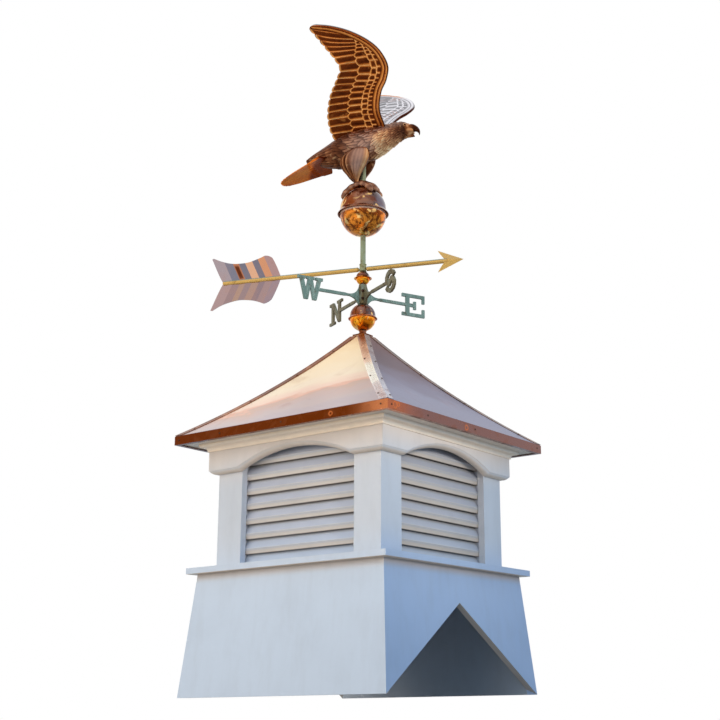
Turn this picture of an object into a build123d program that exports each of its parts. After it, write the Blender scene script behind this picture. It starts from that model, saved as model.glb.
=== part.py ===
from build123d import *
from math import cos, hypot, radians, sin, sqrt, tan
import os

# Barn cupola with louvres, a flared copper roof and an eagle weathervane.
# Millimetres. Origin at the centre of the base's bottom, +Z up. The front faces -Y.
# The ridge of the roof that carries the cupola runs along X.

# Base
BASE_WIDTH = 660.0
BASE_TOP_WIDTH = 603.6
BASE_HEIGHT = 308.3
BOARD = 19.0
ROOF_RISE = 8.0
ROOF_RUN = 12.0

# Ledge between the base and the louvred section
LEDGE_OVERHANG = 21.4
LEDGE_THICK = 15.4
LEDGE_BEARING = 53.5

# Louvred section
BODY_WIDTH = 537.0
BODY_HEIGHT = 325.4
POST_FACE = 82.5
STILE_COVER = 6.0
PANEL_DEPTH = 32.0
PANEL_CORNER_GAP = 1.5
BOTTOM_RAIL = 7.0
TOP_RAIL = 24.0

# Slats: the first nose starts below the ledge's top, behind the bottom rail
SLAT_PITCH = 38.4
FIRST_SLAT_DROP = 6.2
SLAT_NOSE = 13.0
SLAT_NOSE_LEAN = 5.0
SLAT_NOSE_THICK = 3.0
SLAT_THICK = 6.0
SLAT_ANGLE = 60.0
SLAT_RUN = 20.0

# Frieze boards with their arches, and the header that fills in behind them
FRIEZE_THICK = 20.5
FRIEZE_HEIGHT = 79.6
ARCH_RISE = 42.5
FRIEZE_EDGE = 9.0
FRIEZE_QUIRK = 1.2
HEADER_SETBACK = 8.0

# Crown moulding under the eave
CROWN_HEIGHT = 20.0
CROWN_PROJECTION = 20.0
CROWN_FILLET = 3.5
CROWN_COVE = 11.0
CROWN_STEP = 1.8

# Roof
EAVE_OVERHANG = 44.8
SOFFIT = 12.0
SOFFIT_BEARING = 68.5
FASCIA_HEIGHT = 24.6
FASCIA_DROP = 3.0
FASCIA_THICK = 1.5
FASCIA_LIP = 12.0
DRIP_GAP = 1.2
ROOF_HEIGHT = 298.3
ROOF_TOP_WIDTH = 38.0
ROOF_SAG = 15.5
COPPER = 1.5
DECK = 12.0
DECK_JOINT = 0.4
HIP_LEG = 21.0
HIP_GAP = 0.6
CAP_OVERLAP = 1.0
CAP_RIM = 2.0
CAP_RISE = 7.0
NECK_LENGTH = 7.0
NECK_RADIUS = 11.0
NECK_WAIST = 9.6

# Mast and the fixed pieces on it
MAST_RADIUS = 5.0
MAST_DEPTH = 89.0
MAST_REACH = 86.4
BLOCK_DEPTH = 29.0
BLOCK_HEIGHT = 38.0
SEAT_GAP = 0.15
SPUN_WALL = 1.5
LOWER_BALL_RADIUS = 35.8
LOWER_BRIM_RADIUS = 40.5
LOWER_BRIM_SEAT = 6.0
LOWER_DOME_RISE = 7.2
SMALL_BALL_RADIUS = 19.5
SMALL_BRIM_RADIUS = 25.5
SMALL_BRIM_SEAT = 4.5
SMALL_DOME_RISE = 2.0
HUB_RADIUS = 11.0
HUB_HEIGHT = 56.8
ARM_LEVEL = 21.0

# Compass: the angle of the east arm from +X, and the letters
EAST_ANGLE = 66.0
ARM_BAR = 8.5
ARM_PLATE = 6.0
ARM_FLARE = 70.0
ARM_FLARE_LENGTH = 45.0
LETTER_HEIGHT = 66.0
LETTER_START = 126.0
LETTER_STROKE = 12.0
SERIF = 8.0
LETTER_E_WIDTH = 74.0
LETTER_W_WIDTH = 76.0
LETTER_N_WIDTH = 78.0
LETTER_S_WIDTH = 68.0

# Vane: the heading of the arrow from +X, its rod and its tube
VANE_ANGLE = 20.0
ARROW_RISE = 0.2
ARROW_RADIUS = 6.6
ARROW_TAIL = 429.0
ARROW_TIP = 293.0
HEAD_LENGTH = 74.0
HEAD_NOTCH = 26.0
HEAD_SPAN = 64.0
HEAD_THICK = 15.0
TUBE_RADIUS = 7.65
TUBE_IN_EAGLE = 88.8
COLLAR_RADIUS = 10.3
COLLAR_HEIGHT = 22.4
RUNNING_GAP = 0.12
BEARING_GAP = 0.3

# Fletching of the arrow, from its notch: forwards to its front, back to its corners
FLETCH_LENGTH = 180.0
FLETCH_NOSE = 53.0
FLETCH_WAIST_PLACE = 49.0
FLETCH_SWEEP = 38.0
FLETCH_PEAK_HALF = 73.0
FLETCH_WAIST_HALF = 56.0
FLETCH_CORNER_HALF = 84.0
FLETCH_CORNER_ROUND = 9.0
FLETCH_THICK = 1.6
FLETCH_BANDS = 7
FLETCH_PRESS = 1.4
NOTCH_SETBACK = 2.0

# Ball under the eagle: how far the tube stands out below it
PERCH_STANDOFF = 107.4
PERCH_RADIUS = 65.8
PERCH_BRIM_RADIUS = 73.0
PERCH_BRIM_SEAT = 10.0
PERCH_DOME_RISE = 13.2

# Eagle, from beak to tail, with the plate thickness of its beaten sheets
EAGLE_LENGTH = 414.0
EAGLE_SHEET = 4.0
WING_RISE = 49.0
WING_BEAD = 4.6
WING_CAMBER = 0.075
WING_ROOT_HEIGHT = 149.9
WING_FEATHERS = 16
NICK_DEPTH = 6.2
TAIL_FEATHERS = 9
TAIL_LENGTH = 136.6
TAIL_ROOT_HALF = 14.9
TAIL_END_HALF = 45.5
TAIL_SLOPE = 17.0
TAIL_BEND = 124.0
TAIL_ROUNDING = 0.16
TAIL_LAP = 1.25
TOE_RADIUS = 5.6
REAR_TOE_RADIUS = 4.8

# Shape of the eagle in hundredths of its length, from the top of its ball
# Trunk: forward, up, half width and half height of each ellipse
TRUNK_RINGS = [
    (-48.0, 18.4, 3.0, 2.2),
    (-38.6, 22.9, 4.8, 4.8),
    (-29.0, 26.3, 6.6, 7.5),
    (-19.3, 28.0, 8.2, 10.4),
    (-9.7, 29.6, 9.6, 12.6),
    (1.2, 32.2, 10.1, 12.2),
    (10.9, 34.5, 9.2, 10.9),
    (19.3, 37.5, 7.2, 9.2),
    (25.4, 39.7, 6.0, 7.6),
    (30.2, 40.6, 5.2, 6.4),
    (34.5, 40.0, 3.7, 4.4),
]
TRUNK_LEAN = 0.15
# Upper and lower beak: the same four and the slope that each ellipse leans by
UPPER_BEAK_RINGS = [
    (33.6, 40.4, 3.5, 4.2, 0.1),
    (37.2, 40.4, 2.2, 2.7, -0.6),
    (39.4, 39.0, 1.3, 1.5, -1.6),
    (40.5, 37.0, 0.4, 0.5, -6.0),
]
LOWER_BEAK_RINGS = [
    (32.6, 37.4, 2.6, 1.6, -0.1),
    (36.6, 35.9, 0.8, 0.6, -0.3),
]
# Leg: forward, up, half depth, half width and distance aside of each level ellipse
LEG_RINGS = [
    (-3.6, 2.8, 1.6, 1.6, 3.9),
    (-3.9, 5.2, 2.0, 2.0, 4.2),
    (-4.2, 10.6, 5.0, 3.5, 4.9),
    (-3.4, 16.7, 8.6, 4.6, 6.0),
    (-2.6, 23.3, 10.4, 4.2, 6.6),
]
ANKLE = (-3.0, 4.4, 4.1)
REAR_TOE_BEND = (-7.5, 3.2)
REAR_TOE_END = (-11.4, -0.6)
TOE_BEND = (7.6, 2.6)
TOE_END = (13.6, -4.6)
TOE_TURNS = (-9.6, 8.4, 26.4)
TAIL_ROOT = (-26.0, 21.0)
# Wing in its own plane: forward and outward, along its front edge and its back edge
FRONT_EDGE = [
    (17.6, 8.2), (16.4, 20.5), (19.8, 32.6), (25.1, 41.5), (28.0, 50.0),
    (24.4, 60.9), (17.6, 69.3), (6.0, 77.1), (-5.8, 82.4), (-18.1, 85.3),
]
BACK_EDGE = [
    (-21.7, 8.2), (-21.7, 21.3), (-17.4, 34.3), (-10.1, 45.2), (-6.0, 52.2),
    (-7.7, 59.2), (-11.6, 66.7), (-15.5, 74.2), (-18.6, 80.0), (-21.3, 84.5),
]

# How far a cutting shape runs past what it cuts
OVERCUT = 2.0

BASE_HALF = BASE_WIDTH / 2
BASE_TOP_HALF = BASE_TOP_WIDTH / 2
NOTCH_HEIGHT = BASE_HALF * ROOF_RISE / ROOF_RUN
LEDGE_HALF = BASE_TOP_HALF + LEDGE_OVERHANG
LEDGE_TOP = BASE_HEIGHT + LEDGE_THICK
BODY_HALF = BODY_WIDTH / 2
BODY_INNER = BODY_HALF - BOARD
OPENING_HALF = BODY_HALF - POST_FACE
SOFFIT_LEVEL = LEDGE_TOP + BODY_HEIGHT
FRIEZE_HALF = BODY_HALF + FRIEZE_THICK
FRIEZE_BOTTOM = SOFFIT_LEVEL - FRIEZE_HEIGHT
CROWN_HALF = FRIEZE_HALF + CROWN_PROJECTION
CROWN_BOTTOM = SOFFIT_LEVEL - CROWN_HEIGHT
EAVE_HALF = CROWN_HALF + EAVE_OVERHANG
SHEET_HALF = EAVE_HALF - FASCIA_THICK
EAVE_HEIGHT = SOFFIT_LEVEL - FASCIA_DROP + FASCIA_HEIGHT
ROOF_TOP = EAVE_HEIGHT + ROOF_HEIGHT
CAP_HALF = ROOF_TOP_WIDTH / 2 + CAP_OVERLAP
NECK_TOP = ROOF_TOP + CAP_RISE + NECK_LENGTH
BORE = MAST_RADIUS + SEAT_GAP


def ball_contact(radius, bore):
    """Height of a bored ball's end above its centre."""
    return sqrt(radius ** 2 - bore ** 2)


LOWER_BALL_CENTRE = NECK_TOP + SEAT_GAP + ball_contact(LOWER_BALL_RADIUS, BORE)
LOWER_DOME_CENTRE = LOWER_BALL_CENTRE + LOWER_DOME_RISE
HUB_FOOT = LOWER_DOME_CENTRE + ball_contact(LOWER_BALL_RADIUS, BORE) + SEAT_GAP
COMPASS_HEIGHT = HUB_FOOT + ARM_LEVEL
SMALL_BALL_CENTRE = HUB_FOOT + HUB_HEIGHT + SEAT_GAP + ball_contact(SMALL_BALL_RADIUS, BORE)
TUBE_BOTTOM = SMALL_BALL_CENTRE + SMALL_DOME_RISE + ball_contact(SMALL_BALL_RADIUS, BORE) + BEARING_GAP
ARROW_HEIGHT = TUBE_BOTTOM + ARROW_RISE + ARROW_RADIUS
MAST_TOP = TUBE_BOTTOM + MAST_REACH
VANE_FOOT = MAST_TOP + BEARING_GAP
FLETCH_NOTCH = ARROW_TAIL - NOTCH_SETBACK
PERCH_CENTRE = TUBE_BOTTOM + PERCH_STANDOFF + PERCH_RADIUS
PERCH_DOME_CENTRE = PERCH_CENTRE + PERCH_DOME_RISE
PERCH_TOP = PERCH_DOME_CENTRE + PERCH_RADIUS
EAGLE_UNIT = EAGLE_LENGTH / 100


def turned(shape, quarter):
    """A copy of a front piece, turned about Z to another side."""
    return shape.rotate(Axis.Z, 90 * quarter)


def front_wedge(half, low, high, inner=0.0):
    """The space in front of both diagonals, between two heights."""
    outline = Polyline((0, -inner), (half, -half - inner), (-half, -half - inner), (0, -inner), close=True)
    return Pos(0, 0, low) * extrude(make_face(outline), high - low)


def yz_prism(points, half_length):
    """A prism along X with its profile given as (y, z)."""
    face = make_face(Polyline([(0, y, z) for y, z in points], close=True))
    return extrude(face, half_length, dir=(1, 0, 0), both=True)


def base_panel(quarter, notched):
    """A tapered wall of the base, mitred at its corners, with or without its saddle."""
    profile = [(-BASE_HALF, 0), (-BASE_TOP_HALF, BASE_HEIGHT),
               (-BASE_TOP_HALF + BOARD, BASE_HEIGHT), (-BASE_HALF + BOARD, 0)]
    panel = yz_prism(profile, BASE_HALF + 1) & front_wedge(BASE_HALF + 1, -1, BASE_HEIGHT + 1)
    if notched:
        saddle = Polyline((-BASE_HALF, 0), (0, NOTCH_HEIGHT), (BASE_HALF, 0), close=True)
        cutter = extrude(Plane.XZ * make_face(saddle), 2 * BASE_HALF, both=True)
        panel = panel - (cutter & front_wedge(2 * BASE_HALF, -1, BASE_HEIGHT))
    return turned(panel, quarter)


def ledge():
    """The flat band that covers the top of the base and carries the posts."""
    opening = BODY_HALF - LEDGE_BEARING
    ring = Box(2 * LEDGE_HALF, 2 * LEDGE_HALF, LEDGE_THICK) - Box(2 * opening, 2 * opening, LEDGE_THICK)
    return Pos(0, 0, BASE_HEIGHT + LEDGE_THICK / 2) * ring


def corner_post(quarter):
    """An L of two boards at one corner."""
    outline = Polyline(
        (-BODY_HALF, -BODY_HALF), (-OPENING_HALF, -BODY_HALF), (-OPENING_HALF, -BODY_INNER),
        (-BODY_INNER, -BODY_INNER), (-BODY_INNER, -OPENING_HALF), (-BODY_HALF, -OPENING_HALF), close=True)
    post = Pos(0, 0, LEDGE_TOP) * extrude(make_face(outline), BODY_HEIGHT)
    return turned(post, quarter)


def slat_profile(bottom):
    """Section of one slat as (y, z): a nose that leans in below and a leaf that climbs inwards."""
    front = -BODY_INNER
    slope = tan(radians(SLAT_ANGLE))
    vertical = SLAT_THICK / cos(radians(SLAT_ANGLE))
    top = bottom + SLAT_NOSE
    under = top - vertical
    back = front + SLAT_NOSE_LEAN + SLAT_NOSE_THICK
    leaf = front + SLAT_RUN
    climb = slope * SLAT_RUN
    return [(front + SLAT_NOSE_LEAN, bottom), (front, top), (leaf, top + climb),
            (leaf, under + climb), (back, under + slope * (back - front)), (back, bottom)]


def louvre_panel(quarter):
    """A framed louvre behind the posts, with its slats housed in the stiles."""
    half = BODY_INNER - PANEL_DEPTH - PANEL_CORNER_GAP
    opening_half = OPENING_HALF + STILE_COVER
    opening_low = LEDGE_TOP + BOTTOM_RAIL
    opening_high = SOFFIT_LEVEL - TOP_RAIL
    middle = -BODY_INNER + PANEL_DEPTH / 2
    block = Pos(0, middle, LEDGE_TOP + BODY_HEIGHT / 2) * Box(2 * half, PANEL_DEPTH, BODY_HEIGHT)
    hole = Pos(0, middle, (opening_low + opening_high) / 2) * Box(
        2 * opening_half, PANEL_DEPTH + 2 * OVERCUT, opening_high - opening_low)
    panel = block - hole
    first = LEDGE_TOP - FIRST_SLAT_DROP
    count = int((opening_high - first) / SLAT_PITCH) + 1
    for index in range(count):
        slat = yz_prism(slat_profile(first + index * SLAT_PITCH), opening_half)
        panel = panel + (slat & hole)
    return turned(panel, quarter)


def frieze_section(top, edge_level):
    """Section of a frieze board as a face: a flat front, a quirk and a rounded lower edge."""
    centre = (-BODY_HALF, edge_level + FRIEZE_EDGE)
    depth = FRIEZE_THICK - FRIEZE_QUIRK
    quarter = sqrt(0.5)
    round_middle = (centre[0] - depth * quarter, centre[1] - FRIEZE_EDGE * quarter)
    corner = (0, -FRIEZE_HALF, edge_level + FRIEZE_EDGE)
    round_top = (0, -FRIEZE_HALF + FRIEZE_QUIRK, edge_level + FRIEZE_EDGE)
    round_foot = (0, -BODY_HALF, edge_level)
    return make_face(Wire([
        Line((0, -FRIEZE_HALF, top), corner),
        Line(corner, round_top),
        ThreePointArc(round_top, (0, *round_middle), round_foot),
        Line(round_foot, (0, -BODY_HALF, top)),
        Line((0, -BODY_HALF, top), (0, -FRIEZE_HALF, top)),
    ]))


def frieze_board(quarter):
    """A board over the posts' heads, arched over the louvre, with its header between the posts."""
    radius = (OPENING_HALF ** 2 + ARCH_RISE ** 2) / (2 * ARCH_RISE)
    arch_centre = FRIEZE_BOTTOM + ARCH_RISE - radius
    strip = frieze_section(SOFFIT_LEVEL, FRIEZE_BOTTOM)
    board = extrude(strip, FRIEZE_HALF, dir=(1, 0, 0), both=True)
    ring_top = arch_centre + 2 * radius
    band = frieze_section(ring_top, arch_centre + radius)
    axis = Axis((0, 0, arch_centre), (0, 1, 0))
    air = Pos(0, -BODY_HALF, arch_centre) * extrude(Plane.XZ * Circle(ring_top - arch_centre), FRIEZE_THICK)
    arch = air - revolve(band, axis)
    board = (board - arch) & front_wedge(FRIEZE_HALF + 1, FRIEZE_BOTTOM - 1, SOFFIT_LEVEL + 1)
    header_low = FRIEZE_BOTTOM + ARCH_RISE + HEADER_SETBACK
    header = Pos(0, -BODY_INNER - BOARD / 2, (header_low + SOFFIT_LEVEL) / 2) * Box(
        2 * OPENING_HALF, BOARD, SOFFIT_LEVEL - header_low)
    return turned(board + header, quarter)


def crown():
    """The moulding under the eave: a fillet, a cove, a small step and a quarter round."""
    foot = -FRIEZE_HALF
    fillet = foot - CROWN_FILLET
    cove_end = foot - CROWN_COVE - CROWN_STEP
    fillet_top = CROWN_BOTTOM + CROWN_FILLET
    cove_top = CROWN_BOTTOM + CROWN_COVE
    sink = (CROWN_COVE - CROWN_FILLET) * 0.22
    cove_middle = ((fillet + cove_end) / 2 + sink, (fillet_top + cove_top) / 2 + sink)
    nose = cove_end - CROWN_STEP
    swell = (CROWN_HEIGHT - CROWN_COVE) * 0.18
    nose_middle = ((nose - CROWN_HALF) / 2 - swell, (cove_top + SOFFIT_LEVEL) / 2 - swell)
    profile = Wire([
        Line((0, foot, CROWN_BOTTOM), (0, fillet, CROWN_BOTTOM)),
        Line((0, fillet, CROWN_BOTTOM), (0, fillet, fillet_top)),
        ThreePointArc((0, fillet, fillet_top), (0, *cove_middle), (0, cove_end, cove_top)),
        Line((0, cove_end, cove_top), (0, nose, cove_top)),
        ThreePointArc((0, nose, cove_top), (0, *nose_middle), (0, -CROWN_HALF, SOFFIT_LEVEL)),
        Line((0, -CROWN_HALF, SOFFIT_LEVEL), (0, foot, SOFFIT_LEVEL)),
        Line((0, foot, SOFFIT_LEVEL), (0, foot, CROWN_BOTTOM)),
    ])
    side = extrude(make_face(profile), CROWN_HALF, dir=(1, 0, 0), both=True)
    side = side & front_wedge(CROWN_HALF + 1, CROWN_BOTTOM - 1, SOFFIT_LEVEL + 1)
    ring = side
    for quarter in (1, 2, 3):
        ring = ring + turned(side, quarter)
    return ring


def soffit():
    """The flat white underside of the eave, open in the middle."""
    opening = BODY_HALF - SOFFIT_BEARING
    ring = Box(2 * SHEET_HALF, 2 * SHEET_HALF, SOFFIT) - Box(2 * opening, 2 * opening, SOFFIT)
    return Pos(0, 0, SOFFIT_LEVEL + SOFFIT / 2) * ring


def fascia():
    """The copper band round the eave, with a lip turned in below."""
    low = SOFFIT_LEVEL - FASCIA_DROP
    height = EAVE_HEIGHT - DRIP_GAP - low
    lip_half = EAVE_HALF - FASCIA_LIP
    band = Box(2 * EAVE_HALF, 2 * EAVE_HALF, height) - Box(2 * SHEET_HALF, 2 * SHEET_HALF, height)
    lip = Box(2 * EAVE_HALF, 2 * EAVE_HALF, FASCIA_THICK) - Box(2 * lip_half, 2 * lip_half, FASCIA_THICK)
    return Pos(0, 0, low + height / 2) * band + Pos(0, 0, low + FASCIA_THICK / 2) * lip


def roof_curve():
    """Centre and radius of the concave arc that one side of the roof follows."""
    low = (SHEET_HALF, EAVE_HEIGHT)
    high = (ROOF_TOP_WIDTH / 2, ROOF_TOP)
    run = low[0] - high[0]
    rise = high[1] - low[1]
    length = hypot(run, rise)
    middle_out = (low[0] + high[0]) / 2 - ROOF_SAG * rise / length
    middle_up = (low[1] + high[1]) / 2 - ROOF_SAG * run / length
    arc = ThreePointArc((0, -low[0], low[1]), (0, -middle_out, middle_up), (0, -high[0], high[1]))
    return arc.arc_center, arc.radius


def roof_disc(depth):
    """The round bar of air whose surface is the front side of the roof, at a depth below its copper."""
    centre, radius = roof_curve()
    circle = Pos(0, centre.Y, centre.Z) * (Plane.YZ * Circle(radius + depth))
    return extrude(circle, EAVE_HALF, dir=(1, 0, 0), both=True)


def roof_side(outer, inner, low, joint=0.0):
    """One mitred side of a roof layer between two depths, above a height."""
    layer = roof_disc(inner) - roof_disc(outer)
    limit = Pos(0, -SHEET_HALF / 2, (low + ROOF_TOP) / 2) * Box(2 * SHEET_HALF, SHEET_HALF, ROOF_TOP - low)
    return (layer & limit) & front_wedge(EAVE_HALF, low - 1, ROOF_TOP + 1, inner=joint)


def roof_deck():
    """The wooden roof under the copper: four curved sides that stand on the soffit."""
    side = roof_side(COPPER, COPPER + DECK, SOFFIT_LEVEL + SOFFIT, joint=DECK_JOINT)
    side = side - Pos(0, 0, SOFFIT_LEVEL) * extrude(Circle(BORE), 2 * ROOF_HEIGHT)
    return Compound([turned(side, quarter) for quarter in range(4)])


def mast_block():
    """The wooden block under the peak that grips the mast, fitted to the deck's four sides."""
    low = ROOF_TOP - BLOCK_DEPTH - BLOCK_HEIGHT
    block = Pos(0, 0, low + BLOCK_HEIGHT / 2) * Box(EAVE_HALF, EAVE_HALF, BLOCK_HEIGHT)
    for quarter in range(4):
        block = block - turned(roof_disc(COPPER + DECK), quarter)
    return block - Pos(0, 0, low - OVERCUT) * extrude(Circle(BORE), BLOCK_HEIGHT + 2 * OVERCUT)


def roof_panel(quarter):
    """A copper sheet on one side of the roof."""
    return turned(roof_side(0, COPPER, SOFFIT_LEVEL), quarter)


def hip_caps():
    """Four folded strips over the joints of the roof panels."""
    side = roof_side(-COPPER, 0, SOFFIT_LEVEL)
    inner = front_wedge(EAVE_HALF, SOFFIT_LEVEL, ROOF_TOP + 1, inner=HIP_LEG)
    legs = side - inner
    corner = Box(SHEET_HALF, SHEET_HALF, 3 * ROOF_HEIGHT)
    right = legs & (Pos(SHEET_HALF / 2, -SHEET_HALF / 2, ROOF_TOP) * corner)
    left = right.mirror(Plane.YZ)
    strip = right + turned(left, 1)
    away = Box(2 * (CAP_HALF + HIP_GAP), 2 * (CAP_HALF + HIP_GAP), ROOF_HEIGHT / 2)
    strip = strip - Pos(0, 0, ROOF_TOP) * away
    return Compound([turned(strip, quarter) for quarter in range(4)])


def roof_cap():
    """The small pyramid at the top, with the waisted neck that the mast leaves by."""
    rim = Pos(0, 0, ROOF_TOP + CAP_RIM / 2) * Box(2 * CAP_HALF, 2 * CAP_HALF, CAP_RIM)
    foot = Pos(0, 0, ROOF_TOP + CAP_RIM) * Rectangle(2 * CAP_HALF, 2 * CAP_HALF)
    top = Pos(0, 0, ROOF_TOP + CAP_RISE) * Rectangle(2 * NECK_RADIUS, 2 * NECK_RADIUS)
    pyramid = loft([foot, top])
    low = ROOF_TOP + CAP_RISE
    neck_foot = (NECK_RADIUS, 0, low)
    neck_waist = (NECK_WAIST, 0, (low + NECK_TOP) / 2)
    neck_top = (NECK_RADIUS, 0, NECK_TOP)
    neck = revolve(make_face(Wire([
        Line((0, 0, low), neck_foot),
        ThreePointArc(neck_foot, neck_waist, neck_top),
        Line(neck_top, (0, 0, NECK_TOP)),
        Line((0, 0, NECK_TOP), (0, 0, low)),
    ])), Axis.Z)
    hole = Pos(0, 0, ROOF_TOP - OVERCUT) * extrude(Circle(BORE), NECK_TOP - ROOF_TOP + 2 * OVERCUT)
    return (rim + pyramid + neck) - hole


def mast():
    """The rod that holds the compass and carries the vane on its tip."""
    foot = ROOF_TOP - MAST_DEPTH
    return Pos(0, 0, foot) * extrude(Circle(MAST_RADIUS), MAST_TOP - foot)


def ball_bowl(centre, radius, seat, bore):
    """The lower spun half of a ball: a round shell up to its seat."""
    shell = Pos(0, 0, centre) * (Sphere(radius) - Sphere(radius - SPUN_WALL))
    below = Pos(0, 0, centre - 2 * radius) * extrude(Circle(2 * radius), 2 * radius + seat - SEAT_GAP)
    hole = Pos(0, 0, centre - 2 * radius) * extrude(Circle(bore), 2 * radius)
    return (shell & below) - hole


def ball_dome(centre, radius, brim, seat, rise, bore):
    """The upper spun half: a raised round shell that flares into a brim over the lower half."""
    flare = brim - radius
    inside = radius - SPUN_WALL
    crown = centre + rise
    flare_level = 1.6 * seat
    flare_top = (sqrt(radius ** 2 - (flare_level - rise) ** 2), centre + flare_level)
    lip = (brim, centre)
    lip_under = (brim - 0.7 * SPUN_WALL, centre - 0.6 * SPUN_WALL)
    seat_outer = (sqrt(radius ** 2 - seat ** 2) + 3 * SEAT_GAP, centre + seat)
    seat_inner = (sqrt(inside ** 2 - (seat - rise) ** 2), centre + seat)
    crown_outer = (bore, crown + ball_contact(radius, bore))
    crown_inner = (bore, crown + ball_contact(inside, bore))
    half = sqrt(0.5)

    def at(point):
        return (point[0], 0, point[1])

    section = make_face(Wire([
        ThreePointArc(at(crown_outer), (radius * half, 0, crown + radius * half), at(flare_top)),
        ThreePointArc(at(flare_top), (radius + 0.18 * flare, 0, centre + 0.85 * seat), at(lip)),
        Line(at(lip), at(lip_under)),
        ThreePointArc(at(lip_under), (radius + 0.13 * flare, 0, centre + 0.42 * seat), at(seat_outer)),
        Line(at(seat_outer), at(seat_inner)),
        ThreePointArc(at(seat_inner), (inside * half, 0, crown + inside * half), at(crown_inner)),
        Line(at(crown_inner), at(crown_outer)),
    ]))
    return revolve(section, Axis.Z)


def letter_plate(strokes, thick):
    """A letter cut from plate: its strokes drawn as (x, z) outlines and joined."""
    plate = None
    for points in strokes:
        face = Plane.XZ * make_face(Polyline(points, close=True))
        solid = extrude(face, thick / 2, both=True)
        plate = solid if plate is None else plate + solid
    return plate


def bar(x0, z0, x1, z1):
    """The four corners of an upright box of a letter."""
    return [(x0, z0), (x1, z0), (x1, z1), (x0, z1)]


def slant(x0, z0, x1, z1, width):
    """The four corners of a slanting stroke whose ends are level."""
    return [(x0, z0), (x0 + width, z0), (x1 + width, z1), (x1, z1)]


def letter_e():
    """Strokes of the E, from its own left edge and centred in height."""
    width, half, stroke = LETTER_E_WIDTH, LETTER_HEIGHT / 2, LETTER_STROKE
    tongue = width * 0.62
    thin = stroke * 0.8
    return [
        bar(0, -half, width, -half + thin),
        bar(0, half - thin, width, half),
        bar(stroke, -half, 2 * stroke, half),
        bar(stroke, -thin / 2, tongue, thin / 2),
        bar(tongue - SERIF, -stroke, tongue, stroke),
        bar(width - SERIF, -half, width, -half + 2 * stroke),
        bar(width - SERIF, half - 2 * stroke, width, half),
    ]


def letter_w():
    """Strokes of the W with its three serifs."""
    width, half, stroke = LETTER_W_WIDTH, LETTER_HEIGHT / 2, LETTER_STROKE
    left_foot, right_foot = width * 0.26, width * 0.6
    peak = width * 0.42
    return [
        slant(left_foot, -half, width * 0.06, half, stroke),
        slant(left_foot, -half, peak, half, stroke),
        slant(right_foot, -half, peak, half, stroke),
        slant(right_foot, -half, width * 0.8, half, stroke),
        bar(0, half - SERIF, width * 0.3, half),
        bar(width * 0.34, half - SERIF, width * 0.66, half),
        bar(width * 0.7, half - SERIF, width, half),
    ]


def letter_n():
    """Strokes of the N with serifs on its stems."""
    width, half, stroke = LETTER_N_WIDTH, LETTER_HEIGHT / 2, LETTER_STROKE
    left, right = width * 0.16, width * 0.84 - stroke
    return [
        bar(left, -half, left + stroke, half),
        bar(right, -half, right + stroke, half),
        slant(right, -half, left, half, stroke),
        bar(0, -half, width * 0.42, -half + SERIF),
        bar(0, half - SERIF, width * 0.3, half),
        bar(width * 0.6, half - SERIF, width, half),
    ]


def letter_s():
    """Strokes of the S: short pieces along two opposed bowls."""
    width, half, stroke = LETTER_S_WIDTH, LETTER_HEIGHT / 2, LETTER_STROKE
    steps = 8
    bowl_start, bowl_turn = 20, 230
    high = (half + stroke / 4) / 2
    wide = 1.15 * high
    spine = []
    for step in range(steps + 1):
        angle = radians(bowl_start + step * bowl_turn / steps)
        spine.append((width / 2 + wide * cos(angle), half - stroke / 2 - high + high * sin(angle)))
    spine = spine + [(width - x, -z) for x, z in reversed(spine)]
    strokes = []
    for (x0, z0), (x1, z1) in zip(spine, spine[1:]):
        length = hypot(x1 - x0, z1 - z0)
        dx, dz = (x1 - x0) / length, (z1 - z0) / length
        lap = stroke / 6
        x0, z0, x1, z1 = x0 - dx * lap, z0 - dz * lap, x1 + dx * lap, z1 + dz * lap
        side_x, side_z = -dz * stroke / 2, dx * stroke / 2
        strokes.append([(x0 + side_x, z0 + side_z), (x1 + side_x, z1 + side_z),
                        (x1 - side_x, z1 - side_z), (x0 - side_x, z0 - side_z)])
    return strokes


def compass_arm():
    """One arm along +X at the origin: a tall root that sweeps down to a slim bar."""
    flare = ARM_FLARE / 2
    half_bar = ARM_BAR / 2
    bar_start = HUB_RADIUS + ARM_FLARE_LENGTH
    bar_end = LETTER_START + 1.5 * LETTER_STROKE
    shoulder = HUB_RADIUS + ARM_FLARE_LENGTH * 0.2
    upper = Wire([
        Line((0, 0), (bar_end, 0)),
        Line((bar_end, 0), (bar_end, half_bar)),
        Line((bar_end, half_bar), (bar_start, half_bar)),
        ThreePointArc((bar_start, half_bar), (shoulder, flare * 0.42), (HUB_RADIUS, flare)),
        Line((HUB_RADIUS, flare), (0, flare)),
        Line((0, flare), (0, 0)),
    ])
    half = extrude(Plane.XZ * make_face(upper), ARM_PLATE / 2, both=True)
    return half + half.mirror(Plane.XY)


def compass_pair(first_letter, second_letter, second_width):
    """Two opposite arms with their letters: the first along +X, the second along -X."""
    first = compass_arm() + Pos(LETTER_START, 0, 0) * letter_plate(first_letter, ARM_PLATE)
    second = (compass_arm().rotate(Axis.Z, 180)
              + Pos(-LETTER_START - second_width, 0, 0) * letter_plate(second_letter, ARM_PLATE))
    return first, second


def compass_hub():
    """The barrel that the four arms meet at, from the ball below to the ball above."""
    return Pos(0, 0, HUB_FOOT) * extrude(Circle(HUB_RADIUS), HUB_HEIGHT)


def compass_seats():
    """The balls below and above the compass, with the gap that its webs keep from them."""
    lower = Pos(0, 0, LOWER_DOME_CENTRE) * Sphere(LOWER_BALL_RADIUS + SEAT_GAP)
    upper = Pos(0, 0, SMALL_BALL_CENTRE) * Sphere(SMALL_BALL_RADIUS + SEAT_GAP)
    return lower + upper


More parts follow.
